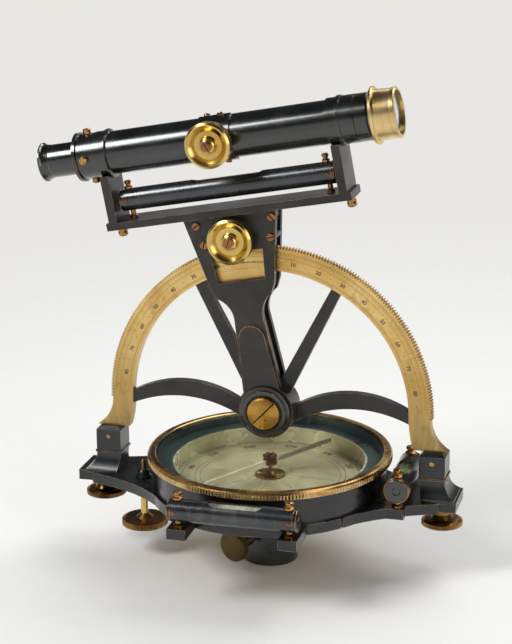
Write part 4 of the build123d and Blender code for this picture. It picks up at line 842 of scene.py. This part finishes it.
# Milled rims of the knobs and other heads
altitudeBack = 8.4 + 3.4    # the back of each knob, in front of the arm's middle
focusBack = 16.2 + 3.4
altitudeSpot = armSpot(0, altitudeUp, 0)
focusSpot = armSpot(focusAlong, tubeUp, 0)
clampHeight, clampBearing = 18.5, math.radians(246)
clampOut = Vector((math.cos(clampBearing), math.sin(clampBearing), 0))
clampSpot = place((0, 0, clampHeight), upright, clampOut)
rims = {
    # name: place, radius, bottom, top, ridges, depth, finish, body
    "altitude_knob_rim": (
        altitudeSpot, 13.8, altitudeBack + 1.1, altitudeBack + 6.5, 96, 0.22, "brass", "altitude_drive",
    ),
    "focus_knob_rim": (focusSpot, 13.8, focusBack + 1.1, focusBack + 6.5, 96, 0.22, "brass", "focus_drive"),
    "azimuth_head_rim": (flatSpot(*azimuthPlace), 13.8, 18.9, 22.7, 50, 0.7, "aged", "azimuth_drive"),
    "left_thumb_rim": (flatSpot(-thumbReach, 0, 0), 12.1, 32.7, 35.4, 46, 0.6, "aged", "left_thumb"),
    "right_thumb_rim": (flatSpot(thumbReach, 0, 0), 12.1, 32.7, 35.4, 46, 0.6, "aged", "right_thumb"),
    "clamp_head_rim": (clampSpot, 9.7, 33.7, 37.3, 60, 0.3, "darkAged", "clamp_body"),
    "hub_disc_rim": (armSpot(0, 0, 0), 15.8, 10.6, 13.0, 90, 0.3, "lacquer", "arm"),
    "bezel_milling": (flatSpot(0, 0, 0), 76.0, 67.7, 70.3, 240, 0.3, "redGold", "alidade"),
}
for name, (spot, radius, low, high, count, depth, finish, body) in rims.items():
    ridges = knurl(spot, radius, low, high, count, depth)
    addPiece(name, ridges, metals[finish], body, 20.0)

# Slotted screws in the middle of the knobs and of the hub, on the arm and on the saddle
knobScrew = {"out": 8.0, "radius": 3.4, "height": 1.2, "slot": 0.6}
for name, spot, back, turn, body in (
    ("altitude_knob_screw", altitudeSpot, altitudeBack, 1.1, "altitude_drive"),
    ("focus_knob_screw", focusSpot, focusBack, 2.0, "focus_drive"),
):
    middle = shifted(spot, out=back + knobScrew["out"])
    head = (middle, knobScrew["radius"], knobScrew["height"], turn, knobScrew["slot"])
    addScrews(name, [head], "copper", body)
hubScrew = {"out": 13.4, "radius": 10.0, "height": 3.1, "turn": math.radians(36.0), "slot": 0.9}
head = (armSpot(0, 0, hubScrew["out"]), *(hubScrew[key] for key in ("radius", "height", "turn", "slot")))
hubHead = addScrews("hub_screw_head", [head], "hubBrass", "arm")
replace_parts(hubHead, "hub_screw")
armScrews = {
    "out": 8.4, "radius": 2.5, "height": 1.3,
    "places": ((-21.9, 119.6, 0.5), (25.9, 119.6, 2.2), (-19.1, 107.4, 1.2), (23.1, 107.4, 0.1)),
}
heads = [
    (armSpot(right, up, armScrews["out"]), armScrews["radius"], armScrews["height"], turn)
    for right, up, turn in armScrews["places"]
]
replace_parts(addScrews("arm_screw_heads", heads, "copper", "arm"), "arm_screws")
saddleScrews = {
    "reach": 14.6, "radius": 1.9, "height": 1.3,
    "places": ((-7.0, -28), (5.0, 18), (6.0, 152)),    # along the tube, and degrees round it
}
heads = []
for right, bearing in saddleScrews["places"]:
    lean = math.radians(bearing)
    outward = upArm * math.cos(lean) + toward * math.sin(lean)
    spot = place(tubeLine + along * right + outward * saddleScrews["reach"], along, outward)
    heads.append((spot, saddleScrews["radius"], saddleScrews["height"], right))
addScrews("saddle_screws", heads, "copper", "arm")

# The cap over the needle's pivot has lobes round a ball
capLobes = {
    "count": 6, "reach": 3.4, "start": 12, "height": 66.2, "size": (1.15, 1.15, 1.4),
    "topHeight": 66.9, "topSize": (1.3, 1.3, 1.3),
}
ball = ballOutline(10)
parts = []
for lobe in range(capLobes["count"]):
    turn = math.radians(360 / capLobes["count"] * lobe + capLobes["start"])
    reach = capLobes["reach"]
    spot = flatSpot(reach * math.cos(turn), reach * math.sin(turn), capLobes["height"])
    parts.append(lathe(spot @ Matrix.Diagonal((*capLobes["size"], 1.0)), ball, 14))
topSpot = flatSpot(0, 0, capLobes["topHeight"]) @ Matrix.Diagonal((*capLobes["topSize"], 1.0))
parts.append(lathe(topSpot, ball, 14))
addPiece("needle_cap_lobes", parts, metals["capBrown"], "needle_body", 60.0)

# Stout part of the azimuth screw's shaft, between its head and the plate: radius and height
azimuthShaft = [(2.7, 23.2), (2.3, 24.6), (2.3, 43.3)]
shaft = lathe(flatSpot(*azimuthPlace), azimuthShaft, 28)
addPiece("azimuth_shaft", [shaft], metals["brass"], "azimuth_drive")
print("screws and rims made")

# Levels: rims, white backs, bubbles, division lines and small screws
levels = {
    "front_level": {
        "middle": Vector((0, -83.5, 60.5)), "axis": Vector((1, 0, 0)), "up": upright,
        "face": Vector((0, -1, 0)), "radius": 6.9, "length": 79.0, "window": 33.0, "shift": 1.5,
        "body": "alidade", "back": ("f0efe8", "dcdcd0"),
    },
    "side_level": {
        "middle": Vector((85.5, -2.0, 61.8)), "axis": Vector((0, 1, 0)), "up": upright,
        "face": Vector((1, 0, 0)), "radius": 7.7, "length": 52.0, "window": 26.0, "shift": 0.0,
        "body": "alidade", "back": ("c3cda8", "9aa57e"),
    },
    "telescope_level": {
        "middle": hub + upArm * 140.0, "axis": along, "up": upArm,
        "face": toward, "radius": 6.8, "length": 137.0, "window": 46.0, "shift": 0.0,
        "body": "arm", "back": ("c29a5e", "94713f"),
    },
}
detail = {
    "wall": 1.2,
    "rims": ((0.6, -0.22, 0.32), (2.4, 0.02, 0.16)),    # in from the end, beyond the tube, wire radius
    "backMiddle": 0.825, "backThick": 0.25, "backEnds": (90, 270), "backBeyond": 4.0, "backStep": 9.0,
    "bubbleShare": 0.2, "bubbleDrop": 1.75, "bubbleSize": (1.5, 2.6),
    "lineGap": 1.2, "lineStep": 1.6, "lineWidth": 0.1, "lineEnds": (-42, 42), "lineLength": 0.12,
    "screwInset": 4.6, "screwSunk": 0.15, "screwRadius": 1.3, "screwHeight": 0.75,
}


for name, level in levels.items():
    middle, axis, face, body = level["middle"], level["axis"], level["face"], level["body"]
    radius, half = level["radius"], level["length"] / 2
    seat = place(middle, level["up"], axis)
    windowSeat = shifted(seat, out=level["shift"])
    bore = radius - detail["wall"]
    parts = [
        hoop(shifted(seat, out=side * (half - inset)), radius + beyond, thick)
        for inset, beyond, thick in detail["rims"] for side in (-1, 1)
    ]
    addPiece(name + "_rims", parts, metals["bronze"], body)
    # White back under the spirit, inside the glass
    back = ringLine(
        windowSeat, bore - detail["backMiddle"], detail["backThick"], *detail["backEnds"],
        level["window"] / 2 + detail["backBeyond"], detail["backStep"],
    )
    backing = paint(name + "Back", level["back"][0], 0.6, level["back"][1])
    addPiece(name + "_back", [back], backing, body)
    # The bubble lies against the top of the glass
    bubbleHalf = level["window"] * detail["bubbleShare"]
    size = (*detail["bubbleSize"], bubbleHalf, 1.0)
    bubbleSpot = shifted(windowSeat, right=bore - detail["bubbleDrop"]) @ Matrix.Diagonal(size)
    bubble = lathe(bubbleSpot, ballOutline(16), 24)
    addPiece(name + "_bubble", [bubble], bubbleSkin, body, 60.0)
    parts = []
    for side in (-1, 1):
        for step in range(3):
            beside = bubbleHalf + detail["lineGap"] + step * detail["lineStep"]
            spot = shifted(windowSeat, out=side * beside)
            parts.append(ringLine(
                spot, bore + 0.02, detail["lineWidth"], *detail["lineEnds"],
                detail["lineLength"], 6.0,
            ))
    addPiece(name + "_lines", parts, shadeAndLineInk, body)
    # Small screws on the face
    heads = []
    for side in (-1, 1):
        origin = middle + axis * (side * (half - detail["screwInset"]))
        spot = place(origin + face * (radius - detail["screwSunk"]), axis, face)
        heads.append((spot, detail["screwRadius"], detail["screwHeight"], side))
    addScrews(name + "_screws", heads, "copper", body)
print("levels finished")

# Dark discs of painted shade in place of tommy-bar holes, two across each other in each round nut
nutHoles = {
    "small": 0.6, "large": 0.8, "low": -0.4, "high": 0.03,
    "studInset": 5.6, "upperNut": 4.0, "lowerNut": 10.8,
    "plate": 3.2 * 0.87, "upper": 2.4 * 0.87, "lower": 2.4,    # radius of the nut where the holes are
}


def capstan(name, spots, holeRadius, body):
    hole = [(holeRadius, nutHoles["low"]), (holeRadius, nutHoles["high"])]
    parts = []
    for origin, axis, side, nutRadius in spots:
        for turn in range(4):
            out = Matrix.Rotation(math.radians(45 + 90 * turn), 3, axis) @ side
            parts.append(lathe(place(origin + out * nutRadius, axis, out), hole, 14))
    addPiece(name, parts, shadeAndLineInk, body)


def studPlace(level, side):
    return level["middle"] + level["axis"] * (side * (level["length"] / 2 - nutHoles["studInset"]))


scope = levels["telescope_level"]
spots = []
for side in (-1, 1):
    stud = studPlace(scope, side)
    upper = stud + upArm * (scope["radius"] + nutHoles["upperNut"])
    spots.append((upper, upArm, along, nutHoles["upper"]))
    spots.append((stud - upArm * nutHoles["lowerNut"], upArm, along, nutHoles["lower"]))
capstan("scope_nut_hole_shade", spots, nutHoles["small"], "arm")
frameNut = {"middle": 2.0, "apart": 73.0, "front": 3.0, "up": 121.2, "radius": 2.9}
frameLine = hub + toward * frameNut["front"] + upArm * frameNut["up"]
spots = []
for side in (-1, 1):
    nut = frameLine + along * (frameNut["middle"] + side * frameNut["apart"])
    spots.append((nut, upArm, along, frameNut["radius"]))
capstan("frame_nut_hole_shade", spots, nutHoles["large"], "arm")
spots = []
for name in ("front_level", "side_level"):
    level = levels[name]
    for side in (-1, 1):
        nut = studPlace(level, side) + upright * (level["radius"] + nutHoles["upperNut"])
        spots.append((nut, upright, level["axis"], nutHoles["plate"]))
capstan("plate_level_hole_shade", spots, nutHoles["small"], "alidade")
reticleScrew = {"along": -82.5, "reach": 15.5, "radius": 2.5}
reticle = tubeLine + along * reticleScrew["along"]
spots = [
    (reticle + out * reticleScrew["reach"], out, along, reticleScrew["radius"])
    for out in (upArm, toward, -upArm, -toward)
]
capstan("reticle_screw_hole_shade", spots, nutHoles["small"], "arm")
print("capstan holes made")

# Rounded edges on the sawn and filed parts, in millimetres
edgeRound = {
    "arm_front_plate": 0.25, "arm_rear_plate": 0.25, "telescope_frame": 0.3, "base_plate": 0.3,
    "left_pedestal": 0.3, "right_pedestal": 0.3, "arc_frame": 0.25,
}
edgeFrom = 40    # degrees between two faces
for name, width in edgeRound.items():
    bevel = nodes[name].modifiers.new("edge", "BEVEL")
    bevel.width = width * mm
    bevel.segments = 2
    bevel.limit_method = "ANGLE"
    bevel.angle_limit = math.radians(edgeFrom)
print("edges rounded")

# Floor and light
floorLook = {
    "colour": linear("e9e8e4"), "speck": linear("dddbd6"), "specks": 90.0, "speckAmount": 0.12,
    "rough": (0.8, 0.9), "specular": 0.1, "size": 16.0, "below": 0.0002, "near": 0.30, "far": 0.95,
}
bpy.ops.mesh.primitive_plane_add(size=floorLook["size"], location=(0, 0, -floorLook["below"]))
floor = bpy.context.object
floor.name = "floor"
material, tree, surface = newMaterial("floorPaint")
coords = tree.nodes.new("ShaderNodeTexCoord")
grain = node(tree, "ShaderNodeTexNoise")
fill(grain, {"Scale": floorLook["specks"], "Detail": 4.0})
wire(tree, coords.outputs["Object"], grain.inputs["Vector"])
speckle = ramp(tree, grain.outputs["Fac"], 0.3, 0.7, 0.0, floorLook["speckAmount"])
tone = mixColour(tree, speckle, floorLook["colour"], floorLook["speck"])
wire(tree, tone, surface.inputs["Base Color"])
wire(tree, ramp(tree, grain.outputs["Fac"], 0.3, 0.7, *floorLook["rough"]), surface.inputs["Roughness"])
fill(surface, {"Specular IOR Level": floorLook["specular"]})
# Away from the object the floor shows its own colour, as an even backdrop would
reach = node(tree, "ShaderNodeVectorMath", operation="LENGTH")
wire(tree, coords.outputs["Object"], reach.inputs[0])
away = ramp(tree, reach.outputs["Value"], floorLook["near"], floorLook["far"], 0.0, 1.0)
seen = seenRays(tree, tree.nodes.new("ShaderNodeLightPath"))
glow = node(tree, "ShaderNodeEmission")
fill(glow, {"Strength": 1.0})
wire(tree, tone, glow.inputs["Color"])
mixShaders(tree, combine(tree, "MULTIPLY", away, seen), surface, glow, "Material Output")
floor.data.materials.append(material)

lamps = {
    # name: place, target, width, height, power in watts
    "key": ((-0.9, -0.8, 1.25), (0, 0, 0.15), 0.55, 0.55, 15.5),
    "fill": ((1.25, -0.8, 0.7), (0, 0, 0.15), 0.5, 0.9, 4.0),
    "back": ((0.3, 1.1, 1.2), (0, 0, 0.15), 1.4, 0.4, 8.0),
    "top": ((0.55, 0.45, 1.5), (0, 0, 0.1), 0.8, 0.5, 6.0),
}
for name, (lampPlace, target, width, height, power) in lamps.items():
    data = bpy.data.lights.new(name, "AREA")
    data.shape = "RECTANGLE"
    data.size, data.size_y, data.energy = width, height, power
    lamp = bpy.data.objects.new(name, data)
    lamp.location = lampPlace
    lamp.rotation_euler = (Vector(target) - Vector(lampPlace)).to_track_quat("-Z", "Y").to_euler()
    scene.collection.objects.link(lamp)

# The room is pale all round; metal sees it darken towards the ceiling
room = {
    "walls": linear("e9e8e4"), "ceiling": linear("2c2f33"), "darkens": (0.02, 0.26),
    "fill": (0.40, 0.41, 0.43, 1),
}
world = bpy.data.worlds.new("world")
scene.world = world
world.use_nodes = True
tree = world.node_tree
shown = tree.nodes["Background"]
fill(shown, {"Strength": 1.0})
path = tree.nodes.new("ShaderNodeLightPath")
coords = tree.nodes.new("ShaderNodeTexCoord")
split = tree.nodes.new("ShaderNodeSeparateXYZ")
wire(tree, coords.outputs["Generated"], split.inputs[0])
heightMask = ramp(tree, split.outputs["Z"], *room["darkens"], 0.0, 1.0)
ceilingMask = combine(tree, "MULTIPLY", heightMask, path.outputs["Is Glossy Ray"])
wire(tree, mixColour(tree, ceilingMask, room["walls"], room["ceiling"]), shown.inputs["Color"])
soft = node(tree, "ShaderNodeBackground")
fill(soft, {"Color": room["fill"], "Strength": 1.0})
mixShaders(tree, seenRays(tree, path), soft, shown, "World Output")
print("stage set")
